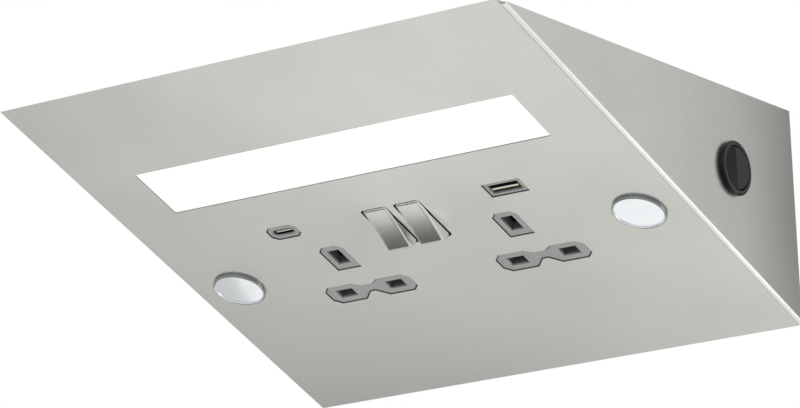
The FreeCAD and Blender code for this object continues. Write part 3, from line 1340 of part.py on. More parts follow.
def all_nodes():
    """A dictionary of every node's shape in the world frame."""
    nodes = {
        "fascia": fascia(),
        "mounting_box": mounting_box(),
        "cable_grommet": cable_grommet(),
        "earth_stud": earth_stud(),
        "earth_nuts": earth_nuts(),
        "screw_caps": screw_caps(),
        "fixing_screws": fixing_screws(),
        "fixing_brackets": fixing_brackets(),
        "fixing_nuts": fixing_nuts(),
        "light_diffuser": light_diffuser(),
        "light_tray": light_tray(),
        "light_board": light_board(),
        "light_chips": light_chips(),
        "tray_nuts": tray_nuts(),
        "light_driver": light_driver(),
        "driver_screws": driver_screws(),
        "socket_front": socket_front(),
        "socket_base": socket_base(),
        "module_screws": module_screws(),
        "panel_nuts": panel_nuts(),
        "neutral_bar": neutral_bar(),
        "earth_bar": earth_bar(),
        "live_bar": live_bar(),
        "terminal_screws": terminal_screws(),
        "usb_a_shell": usb_a_shell(),
        "usb_a_insulator": usb_a_insulator(),
        "usb_a_pads": usb_a_pads(),
        "usb_a_board": usb_board(1),
        "usb_a_transformer": usb_transformer(1),
        "usb_a_capacitor": usb_capacitor(USB_A_X),
        "usb_c_shell": usb_c_shell(),
        "usb_c_insulator": usb_c_insulator(),
        "usb_c_board": usb_board(-1),
        "usb_c_transformer": usb_transformer(-1),
        "usb_c_capacitor": usb_capacitor(USB_C_X),
        "light_switch_body": light_switch_body(),
        "light_switch_blades": light_switch_blades(),
        "light_switch_rocker": light_switch_rocker(),
        "light_switch_plunger": light_switch_plunger(),
        "light_switch_contact": light_switch_contact(),
    }
    for side, socket_x, rocker_x in zip(SIDES, SOCKETS, ROCKERS):
        nodes["shutter_" + side] = shutter(socket_x)
        nodes["shutter_spring_" + side] = shutter_spring(socket_x)
        nodes["live_contact_" + side] = live_contact(socket_x, rocker_x)
        nodes["rocker_cap_" + side] = rocker_cap(rocker_x)
        nodes["rocker_core_" + side] = rocker_core(rocker_x)
        nodes["rocker_plunger_" + side] = rocker_plunger(rocker_x)
        nodes["rocker_spring_" + side] = rocker_spring(rocker_x)
        nodes["contact_arm_" + side] = contact_arm(rocker_x)
    return nodes


def main():
    os.makedirs("parts", exist_ok=True)
    for name, shape in all_nodes().items():
        state = "valid" if shape.isValid() else "NOT VALID"
        print(name, len(shape.Solids), "solids", round(shape.Volume, 1), "mm3", state)
        shape.exportStep("parts/" + name + ".step")


if __name__ == "__main__":
    main()
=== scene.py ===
"""Under-cabinet power socket: finer meshes, finishes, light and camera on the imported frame."""
import json
import logging
import math
from dataclasses import dataclass, field
from enum import Enum

import bmesh
import bpy
from mathutils import Matrix, Quaternion, Vector


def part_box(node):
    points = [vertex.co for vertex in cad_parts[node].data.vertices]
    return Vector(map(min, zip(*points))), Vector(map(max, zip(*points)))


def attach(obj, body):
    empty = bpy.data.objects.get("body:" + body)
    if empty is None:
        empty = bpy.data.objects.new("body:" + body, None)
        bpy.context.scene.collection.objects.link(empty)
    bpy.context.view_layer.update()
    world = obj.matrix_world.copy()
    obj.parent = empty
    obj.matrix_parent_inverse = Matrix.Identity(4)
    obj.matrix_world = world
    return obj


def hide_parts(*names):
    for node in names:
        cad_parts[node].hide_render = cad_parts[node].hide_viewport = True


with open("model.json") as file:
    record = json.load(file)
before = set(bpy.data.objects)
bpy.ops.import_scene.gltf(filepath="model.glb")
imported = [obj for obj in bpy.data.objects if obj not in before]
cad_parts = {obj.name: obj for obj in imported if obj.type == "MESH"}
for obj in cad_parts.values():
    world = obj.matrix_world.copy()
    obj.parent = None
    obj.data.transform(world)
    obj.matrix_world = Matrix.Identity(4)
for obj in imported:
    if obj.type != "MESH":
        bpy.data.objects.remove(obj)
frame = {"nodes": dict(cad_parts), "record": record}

LOG = logging.getLogger("power_socket")
MM = 0.001
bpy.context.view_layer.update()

# Size of the unit in mm. Its panel slopes from the front edge down to the wall.
WIDTH = 215.0
DEPTH = 195.0
HEIGHT = 80.5
SLOPE = math.atan2(HEIGHT, DEPTH)
SIN = math.sin(SLOPE)
COS = math.cos(SLOPE)
FRONT_Y = -DEPTH / 2
PANEL_NORMAL = Vector((0, -SIN, -COS))
PANEL_AXES = Matrix(((1, 0, 0), (0, COS, SIN), (0, -SIN, COS))).to_4x4()
PANEL = Matrix.Translation((0, FRONT_Y * MM, 0)) @ PANEL_AXES
# Meshing: the angle in degrees above which an edge is sharp, the faces across a softened edge, the
# weight of large faces in its normals, and the angle in degrees below which two faces are one flat.
CREASE = 35.0
EDGE_STEPS = 2
FLAT_WEIGHT = 100
FLAT_ANGLE = 0.4
# Reach in metres within which two points are one, and within which a cut keeps a point that it meets.
WELD = 0.5e-6
CUT_SNAP = 1e-7


class Making(Enum):
    """How a surface was made, which sets the shape of its fine pattern."""

    BRUSHED = "brushed with an abrasive belt"
    DRAWN = "rolled or drawn"
    PLATED = "plated or dipped"
    POLISHED = "buffed to a mirror"
    MOULDED = "moulded in a spark eroded tool"
    GLOWING = "moulded and lit from behind"


# Noise of the grain by making, and the long lines that a belt draws out of it.
GRAIN_DETAIL = {Making.BRUSHED: 5.0, Making.DRAWN: 3.0, Making.POLISHED: 1.0, Making.MOULDED: 2.0,
                Making.GLOWING: 2.0}
GRAIN_ROUGHNESS = 0.6
STREAK_DETAIL = 2.0
STREAK_SCALE = (0.12, 1.7, 1.7)
# Broad patches over the grain: how many to a metre, their detail, and the sums of patch and grain at
# which the first and the second colour are whole.
PATCH_SCALE = 22.0
PATCH_DETAIL = 3.0
PATCH_RANGE = (0.7, 1.3)


@dataclass(frozen=True)
class Finish:
    """One real surface: its colours, its gloss and the size of its grain.

    Args:
        name: the common name of the material.
        making: how its surface was made.
        colour: main colour as an sRGB hex.
        second: colour of its patches and streaks.
        rough: lowest and highest roughness across the grain.
        grain: real size of the grain in mm along x, y and z, after the turn.
        bump: height of the grain in mm.
        metallic: 1 for a bare metal.
        ior: index of refraction, left at the default for a metal.
        glow: strength of its own light.
        stretch: anisotropy of the highlight, for a brushed metal.
        shine: strength of the mirror image on a surface that isn't metal.
        turn: turn of the grain about x in radians.
    """

    name: str
    making: Making
    colour: str
    second: str
    rough: tuple[float, float]
    grain: tuple[float, float, float]
    bump: float
    metallic: float = 0.0
    ior: float = 1.5
    glow: float = 0.0
    stretch: float = 0.0
    shine: float = 0.5
    turn: float = 0.0


def linear(text: str) -> tuple[float, ...]:
    """Turn an sRGB hex into linear colour.

    Args:
        text: six hex digits.

    Returns:
        Red, green, blue and an alpha of 1.
    """
    parts = [int(text[i:i + 2], 16) / 255 for i in (0, 2, 4)]
    return tuple(c / 12.92 if c <= 0.04045 else ((c + 0.055) / 1.055) ** 2.4 for c in parts) + (1.0,)


def add(tree: bpy.types.NodeTree, kind: str, inputs: dict[str | int, object] | None = None,
        **settings: object) -> bpy.types.Node:
    """Add one node with its settings, and its inputs as values or links.

    Args:
        tree: the node tree.
        kind: the node's type name.
        inputs: by socket name or number, a value or the socket that feeds it.
        settings: properties of the node.

    Returns:
        The new node.
    """
    node = tree.nodes.new(kind)
    for key, value in settings.items():
        setattr(node, key, value)
    for key, value in (inputs or {}).items():
        if isinstance(value, bpy.types.NodeSocket):
            tree.links.new(value, node.inputs[key])
        else:
            node.inputs[key].default_value = value
    return node


def grain_of(tree: bpy.types.NodeTree, finish: Finish, place: bpy.types.NodeSocket) -> bpy.types.NodeSocket:
    """Draw the fine pattern that the making leaves.

    Args:
        tree: the material's node tree.
        finish: the surface.
        place: Object coordinates.

    Returns:
        A value from 0 to 1, the height of the grain.
    """
    size = [value * MM for value in finish.grain]
    fine = add(tree, "ShaderNodeMapping", {"Vector": place, "Scale": size, "Rotation": (finish.turn, 0, 0)},
               vector_type="TEXTURE").outputs[0]
    if finish.making is Making.PLATED:
        cells = add(tree, "ShaderNodeTexVoronoi", {"Vector": fine, "Scale": 1.0, "Randomness": 1.0})
        tones = add(tree, "ShaderNodeSeparateColor", {"Color": cells.outputs["Color"]})
        return tones.outputs[0]
    grain = add(tree, "ShaderNodeTexNoise", {"Vector": fine, "Scale": 1.0, "Roughness": GRAIN_ROUGHNESS,
                                             "Detail": GRAIN_DETAIL[finish.making]})
    if finish.making is not Making.BRUSHED:
        return grain.outputs[0]
    longer = add(tree, "ShaderNodeMapping", {"Vector": fine, "Scale": STREAK_SCALE})
    streak = add(tree, "ShaderNodeTexNoise", {"Vector": longer.outputs[0], "Scale": 1.0,
                                              "Detail": STREAK_DETAIL})
    both = add(tree, "ShaderNodeMath", {0: grain.outputs[0], 1: streak.outputs[0]}, operation="ADD")
    return add(tree, "ShaderNodeMath", {0: both.outputs[0], 1: 0.5}, operation="MULTIPLY").outputs[0]


def made_of(finish: Finish) -> bpy.types.Material:
    """Build the node material of a finish, or return the one that is there.

    Args:
        finish: the surface.

    Returns:
        The material, with its pattern in Object coordinates.
    """
    if finish.name in bpy.data.materials:
        return bpy.data.materials[finish.name]
    material = bpy.data.materials.new(finish.name)
    material.use_nodes = True
    tree = material.node_tree
    tree.nodes.clear()
    place = add(tree, "ShaderNodeTexCoord").outputs["Object"]
    grain = grain_of(tree, finish, place)
    patch = add(tree, "ShaderNodeTexNoise", {"Vector": place, "Scale": PATCH_SCALE, "Detail": PATCH_DETAIL})
    both = add(tree, "ShaderNodeMath", {0: grain, 1: patch.outputs[0]}, operation="ADD")
    span = {"Value": both.outputs[0], "From Min": PATCH_RANGE[0], "From Max": PATCH_RANGE[1]}
    share = add(tree, "ShaderNodeMapRange", span)
    colour = add(tree, "ShaderNodeMix", {"Factor": share.outputs[0], 6: linear(finish.colour),
                                         7: linear(finish.second)}, data_type="RGBA")
    gloss = add(tree, "ShaderNodeMapRange", span | {"To Min": finish.rough[0], "To Max": finish.rough[1]})
    bump = add(tree, "ShaderNodeBump", {"Height": grain, "Strength": 1.0, "Distance": finish.bump * MM})
    shader = add(tree, "ShaderNodeBsdfPrincipled", {
        "Base Color": colour.outputs[2], "Roughness": gloss.outputs[0], "Normal": bump.outputs[0],
        "Metallic": finish.metallic, "IOR": finish.ior, "Anisotropic": finish.stretch,
        "Specular IOR Level": finish.shine})
    if finish.making is Making.GLOWING:
        shader.inputs["Emission Color"].default_value = linear(finish.colour)
        shader.inputs["Emission Strength"].default_value = finish.glow
    add(tree, "ShaderNodeOutputMaterial", {"Surface": shader.outputs[0]})
    return material


# Type 304 stainless sheet, belt brushed across the panel: a soft grey sheen. The real lines are
# 0.05 to 0.1 mm wide, too fine to show, so they are drawn 0.4 mm wide and very faint.
STEEL_PANEL = Finish("brushed_stainless_panel", Making.BRUSHED, "D6D7D2", "D1D2CD", (0.30, 0.36),
                     (16.0, 0.4, 0.4), 0.0006, metallic=1.0, stretch=0.3, turn=-SLOPE)
# The same sheet round the fold: its brushing runs across the fold and shows as a fine mottle. Its colour is
# painted a little darker than the panel's: painted shade for the cheeks' dimmer light.
STEEL_CHEEK_PAINTED_SHADE = Finish("brushed_stainless_cheek_painted_shade", Making.BRUSHED, "CBCCC7", "C2C3BD", (0.30, 0.38),
                     (0.6, 0.6, 5.0), 0.002, metallic=1.0, turn=-SLOPE)
# The side of the same sheet that nobody polishes, and its punched edges: duller and greyer.
STEEL_INSIDE = Finish("mill_finish_stainless", Making.DRAWN, "A9AAA6", "9C9D99", (0.42, 0.55),
                      (5.0, 0.6, 0.6), 0.003, metallic=1.0)
# Hot dipped galvanised mild steel: pale bluish grey with a soft spangle 3 to 5 mm across.
ZINC = Finish("galvanised_sheet", Making.PLATED, "B0B4B7", "A9ADB0", (0.40, 0.44), (2.5, 3.5, 2.5), 0.001,
              metallic=1.0)
# Chromed brass, buffed to a mirror: bluish white with a trace of buffing haze.
CHROME = Finish("chromed_brass", Making.POLISHED, "E6E9EB", "E0E4E7", (0.04, 0.07), (6.0, 6.0, 6.0), 0.0004,
                metallic=1.0)
# The outer wall of the same cap, painted a darker mirror: a painted dark reflection that draws its outline.
CHROME_RIM_PAINTED_REFLECTION = Finish("chromed_rim_painted_reflection", Making.POLISHED, "94989A", "8C9092", (0.05, 0.08), (3.0, 3.0, 3.0), 0.0004,
                    metallic=1.0)
# Deep drawn stainless cap, brushed along the rocker: it mirrors light and dark softly.
ROCKER_STEEL = Finish("satin_rocker_steel", Making.BRUSHED, "D2D3CF", "CBCCC8", (0.24, 0.28),
                      (9.0, 0.35, 0.35), 0.0001, metallic=1.0, stretch=0.2, turn=-SLOPE)
# Bright zinc plated screws, studs and nuts.
FASTENER = Finish("zinc_plated_fastener", Making.PLATED, "B8BBBA", "A2A5A6", (0.28, 0.4), (0.8, 0.8, 0.8),
                  0.003, metallic=1.0)
# Hard drawn spring wire, dull grey with die lines along it.
SPRING = Finish("spring_wire", Making.DRAWN, "8E9092", "77797B", (0.3, 0.42), (2.0, 0.2, 0.2), 0.002,
                metallic=1.0)
# Pressed brass strip, slightly tarnished.
BRASS = Finish("pressed_brass", Making.DRAWN, "C9A45A", "B08C48", (0.26, 0.4), (4.0, 0.5, 0.5), 0.002,
               metallic=1.0)
# Nickel plated steel of the port shells: a small bright edge round a dark mouth.
PORT_STEEL = Finish("nickel_plated_shell", Making.PLATED, "A8A9A8", "8E8F8F", (0.24, 0.36), (0.6, 2.0, 0.6),
                    0.001, metallic=1.0)
# Grey urea moulding: an even matt grey with the fine grain of a spark eroded tool.
GREY_MOULDING = Finish("grey_urea_moulding", Making.MOULDED, "A5A8A6", "9EA19F", (0.42, 0.55),
                       (0.35, 0.35, 0.35), 0.004, ior=1.55)
# The same moulding painted dark grey deeper in the slots: painted shade that lets the slots read nearly
# black.
SLOT_PAINTED_SHADE = Finish("urea_painted_slot_shade", Making.MOULDED, "626566", "5A5D5E", (0.45, 0.58),
                       (0.35, 0.35, 0.35), 0.004, ior=1.55)
# Black polycarbonate, satin.
BLACK_MOULDING = Finish("black_polycarbonate", Making.MOULDED, "1E1F21", "17181A", (0.4, 0.52),
                        (0.4, 0.4, 0.4), 0.004, ior=1.58)
# Gloss black nylon of the light switch, polished tool: sharp small highlights.
GLOSS_BLACK = Finish("gloss_black_nylon", Making.MOULDED, "0D0D0F", "09090B", (0.10, 0.16), (1.5, 1.5, 1.5),
                     0.0005, ior=1.53, shine=0.2)
# Opal acrylic with the chips lit behind it: evenly white.
OPAL = Finish("opal_acrylic_window", Making.GLOWING, "FFFFFF", "FDFDFC", (0.25, 0.3), (5.0, 5.0, 5.0),
              0.001, ior=1.49, glow=0.3)
# White nylon of the driver case, the pins and the board's mask.
WHITE_MOULDING = Finish("white_nylon", Making.MOULDED, "E9E9E6", "DEDEDA", (0.35, 0.48),
                        (0.6, 0.6, 0.6), 0.003, ior=1.53)
# Cream heat resistant nylon of the port tongues.
CREAM = Finish("cream_port_nylon", Making.MOULDED, "E6DFC9", "DAD3BC", (0.38, 0.5), (0.4, 0.4, 0.4),
               0.003, ior=1.53)
# Glass epoxy board under a green mask.
BOARD = Finish("green_masked_board", Making.MOULDED, "1F5A38", "184A2E", (0.25, 0.38), (0.5, 0.5, 0.5),
               0.004, ior=1.56)
# Yellow phosphor on a white chip carrier.
CHIP = Finish("phosphor_chip", Making.GLOWING, "F2E39A", "E9D67F", (0.3, 0.4), (0.5, 0.5, 0.5), 0.002,
              ior=1.45, glow=0.2)
# Sintered ferrite, nearly black and chalky.
FERRITE = Finish("sintered_ferrite", Making.MOULDED, "2B2B2C", "222223", (0.5, 0.65), (0.3, 0.3, 0.3),
                 0.006, ior=2.2)
# Shrink sleeve of an electrolytic capacitor: smooth dark blue.
SLEEVE = Finish("shrunk_sleeve", Making.MOULDED, "24344A", "1D2B3E", (0.25, 0.35), (1.0, 1.0, 1.0),
                0.002, ior=1.54)
# Black moulded rubber, matt.
RUBBER = Finish("moulded_rubber", Making.MOULDED, "1B1B1B", "141414", (0.6, 0.75), (0.5, 0.5, 0.5),
                0.006, ior=1.52)

SLOT_FINISH = {
    "fascia_steel": STEEL_PANEL, "zinc_plate": ZINC, "polished_chrome": CHROME, "rocker_metal": ROCKER_STEEL,
    "plated_fasteners": FASTENER, "spring_steel": SPRING, "contact_brass": BRASS, "port_steel": PORT_STEEL,
    "grey_moulding": GREY_MOULDING, "black_moulding": BLACK_MOULDING, "gloss_black": GLOSS_BLACK,
    "opal_acrylic": OPAL, "white_moulding": WHITE_MOULDING, "port_cream": CREAM, "circuit_board": BOARD,
    "light_chip": CHIP, "ferrite": FERRITE, "capacitor_sleeve": SLEEVE, "grommet_rubber": RUBBER,
}
SLOT_OF = {part["node"]: part["material_slot"] for part in frame["record"]["subparts"]}


def put_in_scene(name: str, mesh: bpy.types.Mesh, body: str) -> bpy.types.Object:
    """Make an object of a mesh that is already in place, and let it ride on its body.

    Args:
        name: the piece's name.
        mesh: its mesh in the world frame.
        body: the CAD body it moves with.

    Returns:
        The object.
    """
    piece = bpy.data.objects.new(name, mesh)
    bpy.context.scene.collection.objects.link(piece)
    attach(piece, body)
    LOG.info("made %s, %d faces, on %s", name, len(mesh.polygons), body)
    return piece


def plain(mesh: bpy.types.Mesh, edge: float, crease: float = CREASE) -> bpy.types.Mesh:
    """Soften the sharp edges of a mesh and keep its flats flat to the eye.

    Args:
        mesh: a closed mesh in metres.
        edge: width of the softened edge in mm.
        crease: angle in degrees above which an edge counts as sharp.

    Returns:
        A new mesh with the edges in it.
    """
    mesh.shade_smooth()
    mesh.set_sharp_from_angle(angle=math.radians(crease))
    carrier = bpy.data.objects.new("carrier", mesh)
    bpy.context.scene.collection.objects.link(carrier)
    bevel = carrier.modifiers.new("edge", "BEVEL")
    bevel.width = edge * MM
    bevel.segments = EDGE_STEPS
    bevel.limit_method = "ANGLE"
    bevel.angle_limit = math.radians(crease)
    bevel.use_clamp_overlap = True
    bevel.harden_normals = False
    weigh = carrier.modifiers.new("flats", "WEIGHTED_NORMAL")
    weigh.keep_sharp = False
    weigh.weight = FLAT_WEIGHT
    graph = bpy.context.evaluated_depsgraph_get()
    result = bpy.data.meshes.new_from_object(carrier.evaluated_get(graph), preserve_all_data_layers=True,
                                             depsgraph=graph)
    bpy.data.objects.remove(carrier)
    return result


def merged_copy(node: str) -> bpy.types.Mesh:
    """Copy a CAD node's mesh with its loose triangles joined and its flats made whole.

    Args:
        node: the CAD node's name.

    Returns:
        The joined mesh.
    """
    shape = bmesh.new()
    shape.from_mesh(frame["nodes"][node].data)
    bmesh.ops.remove_doubles(shape, verts=shape.verts, dist=WELD)
    bmesh.ops.dissolve_limit(shape, angle_limit=math.radians(FLAT_ANGLE), verts=shape.verts,
                             edges=shape.edges)
    mesh = bpy.data.meshes.new(node + "_joined")
    shape.to_mesh(mesh)
    shape.free()
    mesh.materials.clear()
    return mesh


def soft_edged(node: str, body: str, edge: float, crease: float = CREASE) -> bpy.types.Object:
    """Draw a CAD piece again with the small edge radii that its making leaves, and hide its node.

    Args:
        node: the CAD node that it stands for.
        body: the CAD body it moves with.
        edge: width of its softened edges in mm.
        crease: angle in degrees above which an edge is sharp.

    Returns:
        The piece.
    """
    mesh = plain(merged_copy(node), edge, crease)
    mesh.materials.append(made_of(SLOT_FINISH[SLOT_OF[node]]))
    piece = put_in_scene(node + "_shown", mesh, body)
    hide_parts(node)
    return piece


@dataclass
class Fascia:
    """Folded stainless sheet: the sloping panel and both cheeks.

    Args:
        edge: radius left by deburring in mm.
        sheet: thickness of the sheet in mm.
        side_tilt: share of x in its normal above which a face belongs to a cheek.
        panel_tilt: share of the panel's normal below which a face is on the inside or is a cut edge.
    """

    edge: float = 0.12
    sheet: float = 1.2
    side_tilt: float = 0.75
    panel_tilt: float = 0.3

    def build(self) -> bpy.types.Object:
        """Make the sheet: one finish on the panel, a darker copy on the cheeks as painted shade, and one on
        its inside.

        Returns:
            The sheet.
        """
        finishes = (STEEL_PANEL, STEEL_CHEEK_PAINTED_SHADE, STEEL_INSIDE)
        cheek, inside = finishes.index(STEEL_CHEEK_PAINTED_SHADE), finishes.index(STEEL_INSIDE)
        mid_sheet = (WIDTH / 2 - self.sheet / 2) * MM
        mesh = plain(merged_copy("fascia"), self.edge)
        for finish in finishes:
            mesh.materials.append(made_of(finish))
        # The cheeks get the darker copy of the same steel: painted shade.
        for face in mesh.polygons:
            if abs(face.normal.x) > self.side_tilt:
                face.material_index = cheek if abs(face.center.x) > mid_sheet else inside
            elif face.normal.dot(PANEL_NORMAL) < self.panel_tilt:
                face.material_index = inside
        piece = put_in_scene("fascia_sheet", mesh, "frame")
        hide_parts("fascia")
        return piece


def lathe(profile: list[tuple[float, float]], steps: int, place: Matrix) -> bpy.types.Mesh:
    """Turn a closed profile about z.

    Args:
        profile: points (radius, z) in mm, from the axis round and back to the axis.
        steps: faces round the axis.
        place: where the turned shape goes, in metres.

    Returns:
        The mesh, closed, in place.
    """
    shape = bmesh.new()
    rings = []
    for radius, z in profile:
        if radius == 0:
            rings.append([shape.verts.new((0, 0, z * MM))])
            continue
        ring = []
        for i in range(steps):
            a = 2 * math.pi * i / steps
            ring.append(shape.verts.new((radius * MM * math.cos(a), radius * MM * math.sin(a), z * MM)))
        rings.append(ring)
    for low, high in zip(rings, rings[1:]):
        for i in range(steps):
            j = (i + 1) % steps
            corners = [low[i % len(low)], low[j % len(low)], high[j % len(high)], high[i % len(high)]]
            unique = list(dict.fromkeys(corners))
            if len(unique) > 2:
                shape.faces.new(unique)
    bmesh.ops.recalc_face_normals(shape, faces=shape.faces)
    shape.transform(place)
    mesh = bpy.data.meshes.new("turned")
    shape.to_mesh(mesh)
    shape.free()
    mesh.shade_smooth()
    return mesh


def arc(centre: tuple[float, float], radius: float, start: float, end: float,
        steps: int) -> list[tuple[float, float]]:
    """Points of an arc, ends included.

    Args:
        centre: its middle, as (radius, z) in mm.
        radius: its radius in mm.
        start: first angle in degrees.
        end: last angle in degrees.
        steps: pieces that it is cut into.

    Returns:
        The points.
    """
    angles = [math.radians(start + (end - start) * i / steps) for i in range(steps + 1)]
    return [(centre[0] + radius * math.cos(a), centre[1] + radius * math.sin(a)) for a in angles]


@dataclass
class ScrewCaps:
    """Two chromed caps over the fixing screws: a mirror face sunk inside a round rim.

    Args:
        x: distance of each from the middle in mm.
        v: distance down the slope in mm.
        radius: outer radius in mm.
        rim: radius of the rim's section in mm.
        height: how far the rim stands out in mm.
        wall: thickness of the metal in mm.
        stud: radius of the threaded stud behind it in mm.
        stud_end: how far the stud reaches into the unit in mm.
        step: width in mm of the corner inside the rim and of the stud's chamfer.
        foot: chamfer of the rim's foot in mm.
        facets: faces round each cap.
        rim_facets: faces across the rim's section.
        crease: angle in degrees above which an edge is sharp.
    """

    x: float = 87.8
    v: float = 126.7
    radius: float = 10.0
    rim: float = 0.5
    height: float = 1.3
    wall: float = 0.35
    stud: float = 1.25
    stud_end: float = 2.5
    step: float = 0.2
    foot: float = 0.1
    facets: int = 128
    rim_facets: int = 24
    crease: float = 40.0

    def profile(self) -> list[tuple[float, float]]:
        """Draw the cap's section.

        Returns:
            Points (radius, z) in mm, with z into the unit.
        """
        face = self.rim - self.height
        inner = self.radius - 2 * self.rim
        under = face + self.wall
        crown = arc((self.radius - self.rim, face), self.rim, 180, 360, self.rim_facets)
        skirt = [(self.radius, -self.foot), (self.radius - self.foot, 0), (inner, 0), (inner, under)]
        stud = [(self.stud, under), (self.stud, self.stud_end - self.step),
                (self.stud - self.step, self.stud_end), (0, self.stud_end)]
        return [(0, face), (inner - self.step, face)] + crown + skirt + stud

    def build(self) -> bpy.types.Object:
        """Turn both caps as one piece, a mirror with its outer wall painted darker as a painted dark
        reflection.

        Returns:
            The pair.
        """
        places = [PANEL @ Matrix.Translation((side * self.x * MM, self.v * MM, 0)) for side in (-1, 1)]
        shape = bmesh.new()
        for place in places:
            shape.from_mesh(lathe(self.profile(), self.facets, place))
        mesh = bpy.data.meshes.new("screw_caps")
        shape.to_mesh(mesh)
        shape.free()
        mesh.set_sharp_from_angle(angle=math.radians(self.crease))
        for finish in (CHROME, CHROME_RIM_PAINTED_REFLECTION):
            mesh.materials.append(made_of(finish))
        # Faces beyond the middle of the rim get the darker chrome: a painted dark reflection along the cap's
        # outline.
        for face in mesh.polygons:
            reach = min((face.center - place.translation).length for place in places)
            face.material_index = int(reach > (self.radius - self.rim) * MM)
        piece = put_in_scene("screw_cap_pair", mesh, "frame")
        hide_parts("screw_caps")
        return piece


@dataclass
class LightChips:
    """A row of chips on the light's board, set out by Geometry Nodes.

    Args:
        count: how many.
        pitch: spacing in mm.
        size: side of each in mm.
        height: height of each in mm.
    """

    count: int = 16
    pitch: float = 10.0
    size: float = 3.5
    height: float = 0.8

    def tree(self) -> bpy.types.NodeTree:
        """Build the tree that lays the chips out.

        Returns:
            The tree, with an input for each size.
        """
        tree = bpy.data.node_groups.new("chip_row", "GeometryNodeTree")
        face = tree.interface
        face.new_socket("Geometry", in_out="INPUT", socket_type="NodeSocketGeometry")
        for name, kind in (("Count", "NodeSocketInt"), ("Pitch", "NodeSocketFloat"),
                           ("Size", "NodeSocketFloat"), ("Height", "NodeSocketFloat")):
            face.new_socket(name, in_out="INPUT", socket_type=kind)
        face.new_socket("Geometry", in_out="OUTPUT", socket_type="NodeSocketGeometry")
        given = add(tree, "NodeGroupInput").outputs
        gaps = add(tree, "ShaderNodeMath", {0: given["Count"], 1: 1.0}, operation="SUBTRACT")
        half = add(tree, "ShaderNodeMath", {0: gaps.outputs[0], 1: -0.5}, operation="MULTIPLY")
        start = add(tree, "ShaderNodeMath", {0: half.outputs[0], 1: given["Pitch"]}, operation="MULTIPLY")
        first = add(tree, "ShaderNodeCombineXYZ", {"X": start.outputs[0]})
        step = add(tree, "ShaderNodeCombineXYZ", {"X": given["Pitch"]})
        line = add(tree, "GeometryNodeMeshLine", {"Count": given["Count"], "Start Location": first.outputs[0],
                                                  "Offset": step.outputs[0]}, mode="OFFSET")
        size = add(tree, "ShaderNodeCombineXYZ", {"X": given["Size"], "Y": given["Size"],
                                                  "Z": given["Height"]})
        chip = add(tree, "GeometryNodeMeshCube", {"Size": size.outputs[0]})
        row = add(tree, "GeometryNodeInstanceOnPoints", {"Points": line.outputs[0],
                                                         "Instance": chip.outputs[0]})
        real = add(tree, "GeometryNodeRealizeInstances", {"Geometry": row.outputs[0]})
        dressed = add(tree, "GeometryNodeSetMaterial", {"Geometry": real.outputs[0],
                                                        "Material": made_of(CHIP)})
        add(tree, "NodeGroupOutput", {"Geometry": dressed.outputs[0]})
        return tree

    def build(self) -> bpy.types.Object:
        """Run the tree, turn its result into a plain mesh and put it on the board.

        Returns:
            The row.
        """
        low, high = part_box("light_chips")
        carrier = bpy.data.objects.new("chip_carrier", bpy.data.meshes.new("chip_carrier"))
        bpy.context.scene.collection.objects.link(carrier)
        row = carrier.modifiers.new("row", "NODES")
        row.node_group = self.tree()
        values = {"Count": self.count, "Pitch": self.pitch * MM, "Size": self.size * MM,
                  "Height": self.height * MM}
        for item in row.node_group.interface.items_tree:
            if item.in_out == "INPUT" and item.name in values:
                row[item.identifier] = values[item.name]
        graph = bpy.context.evaluated_depsgraph_get()
        mesh = bpy.data.meshes.new_from_object(carrier.evaluated_get(graph), depsgraph=graph)
        bpy.data.objects.remove(carrier)
        mesh.transform(Matrix.Translation((low + high) / 2) @ PANEL_AXES)
        piece = put_in_scene("light_chip_row", mesh, "frame")
        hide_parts("light_chips")
        return piece


@dataclass
class MountingBox:
    """Galvanised top and back with the cable grommet.

    Args:
        sheet_edge: radius left by shearing the sheet in mm.
        rubber_edge: radius of the grommet's lips in mm.
    """

    sheet_edge: float = 0.1
    rubber_edge: float = 0.3

    def build(self) -> list[bpy.types.Object]:
        """Make the box and the grommet. Returns both."""
        return [soft_edged("mounting_box", "frame", self.sheet_edge),
                soft_edged("cable_grommet", "frame", self.rubber_edge)]


@dataclass
class LightStrip:
    """Opal window and the row of chips behind it.

    Args:
        window_edge: radius of the window's edge in mm.
        chips: the row of chips.
    """

    window_edge: float = 0.12
    chips: LightChips = field(default_factory=LightChips)

    def build(self) -> list[bpy.types.Object]:
        """Make the window and the chips. Returns both."""
        return [soft_edged("light_diffuser", "frame", self.window_edge), self.chips.build()]


@dataclass
class SocketModule:
    """Grey moulding that fills the windows of both sockets and both ports.

    Args:
        mouth_edge: radius of its edges in mm.
        painted_shade_depth: how far the grey face reaches into the slots in mm, below which the moulding is
            painted dark grey as painted shade.
    """

    mouth_edge: float = 0.14
    painted_shade_depth: float = 1.1

    def build(self) -> bpy.types.Object:
        """Make the moulding: a grey face, painted dark grey further into the slots as painted shade.

        Returns:
            The moulding.
        """
        piece = soft_edged("socket_front", "frame", self.mouth_edge)
        mesh = piece.data
        mesh.materials.append(made_of(SLOT_PAINTED_SHADE))
        level = PANEL @ Vector((0, 0, self.painted_shade_depth * MM))
        shape = bmesh.new()
        shape.from_mesh(mesh)
        bmesh.ops.bisect_plane(shape, geom=shape.verts[:] + shape.edges[:] + shape.faces[:],
                               dist=CUT_SNAP, plane_co=level, plane_no=PANEL_NORMAL)
        # Faces deeper than the cut get the dark grey: painted shade inside the slots.
        for face in shape.faces:
            face.material_index = int((face.calc_center_median() - level).dot(PANEL_NORMAL) < 0)
        shape.to_mesh(mesh)
        shape.free()
        return piece


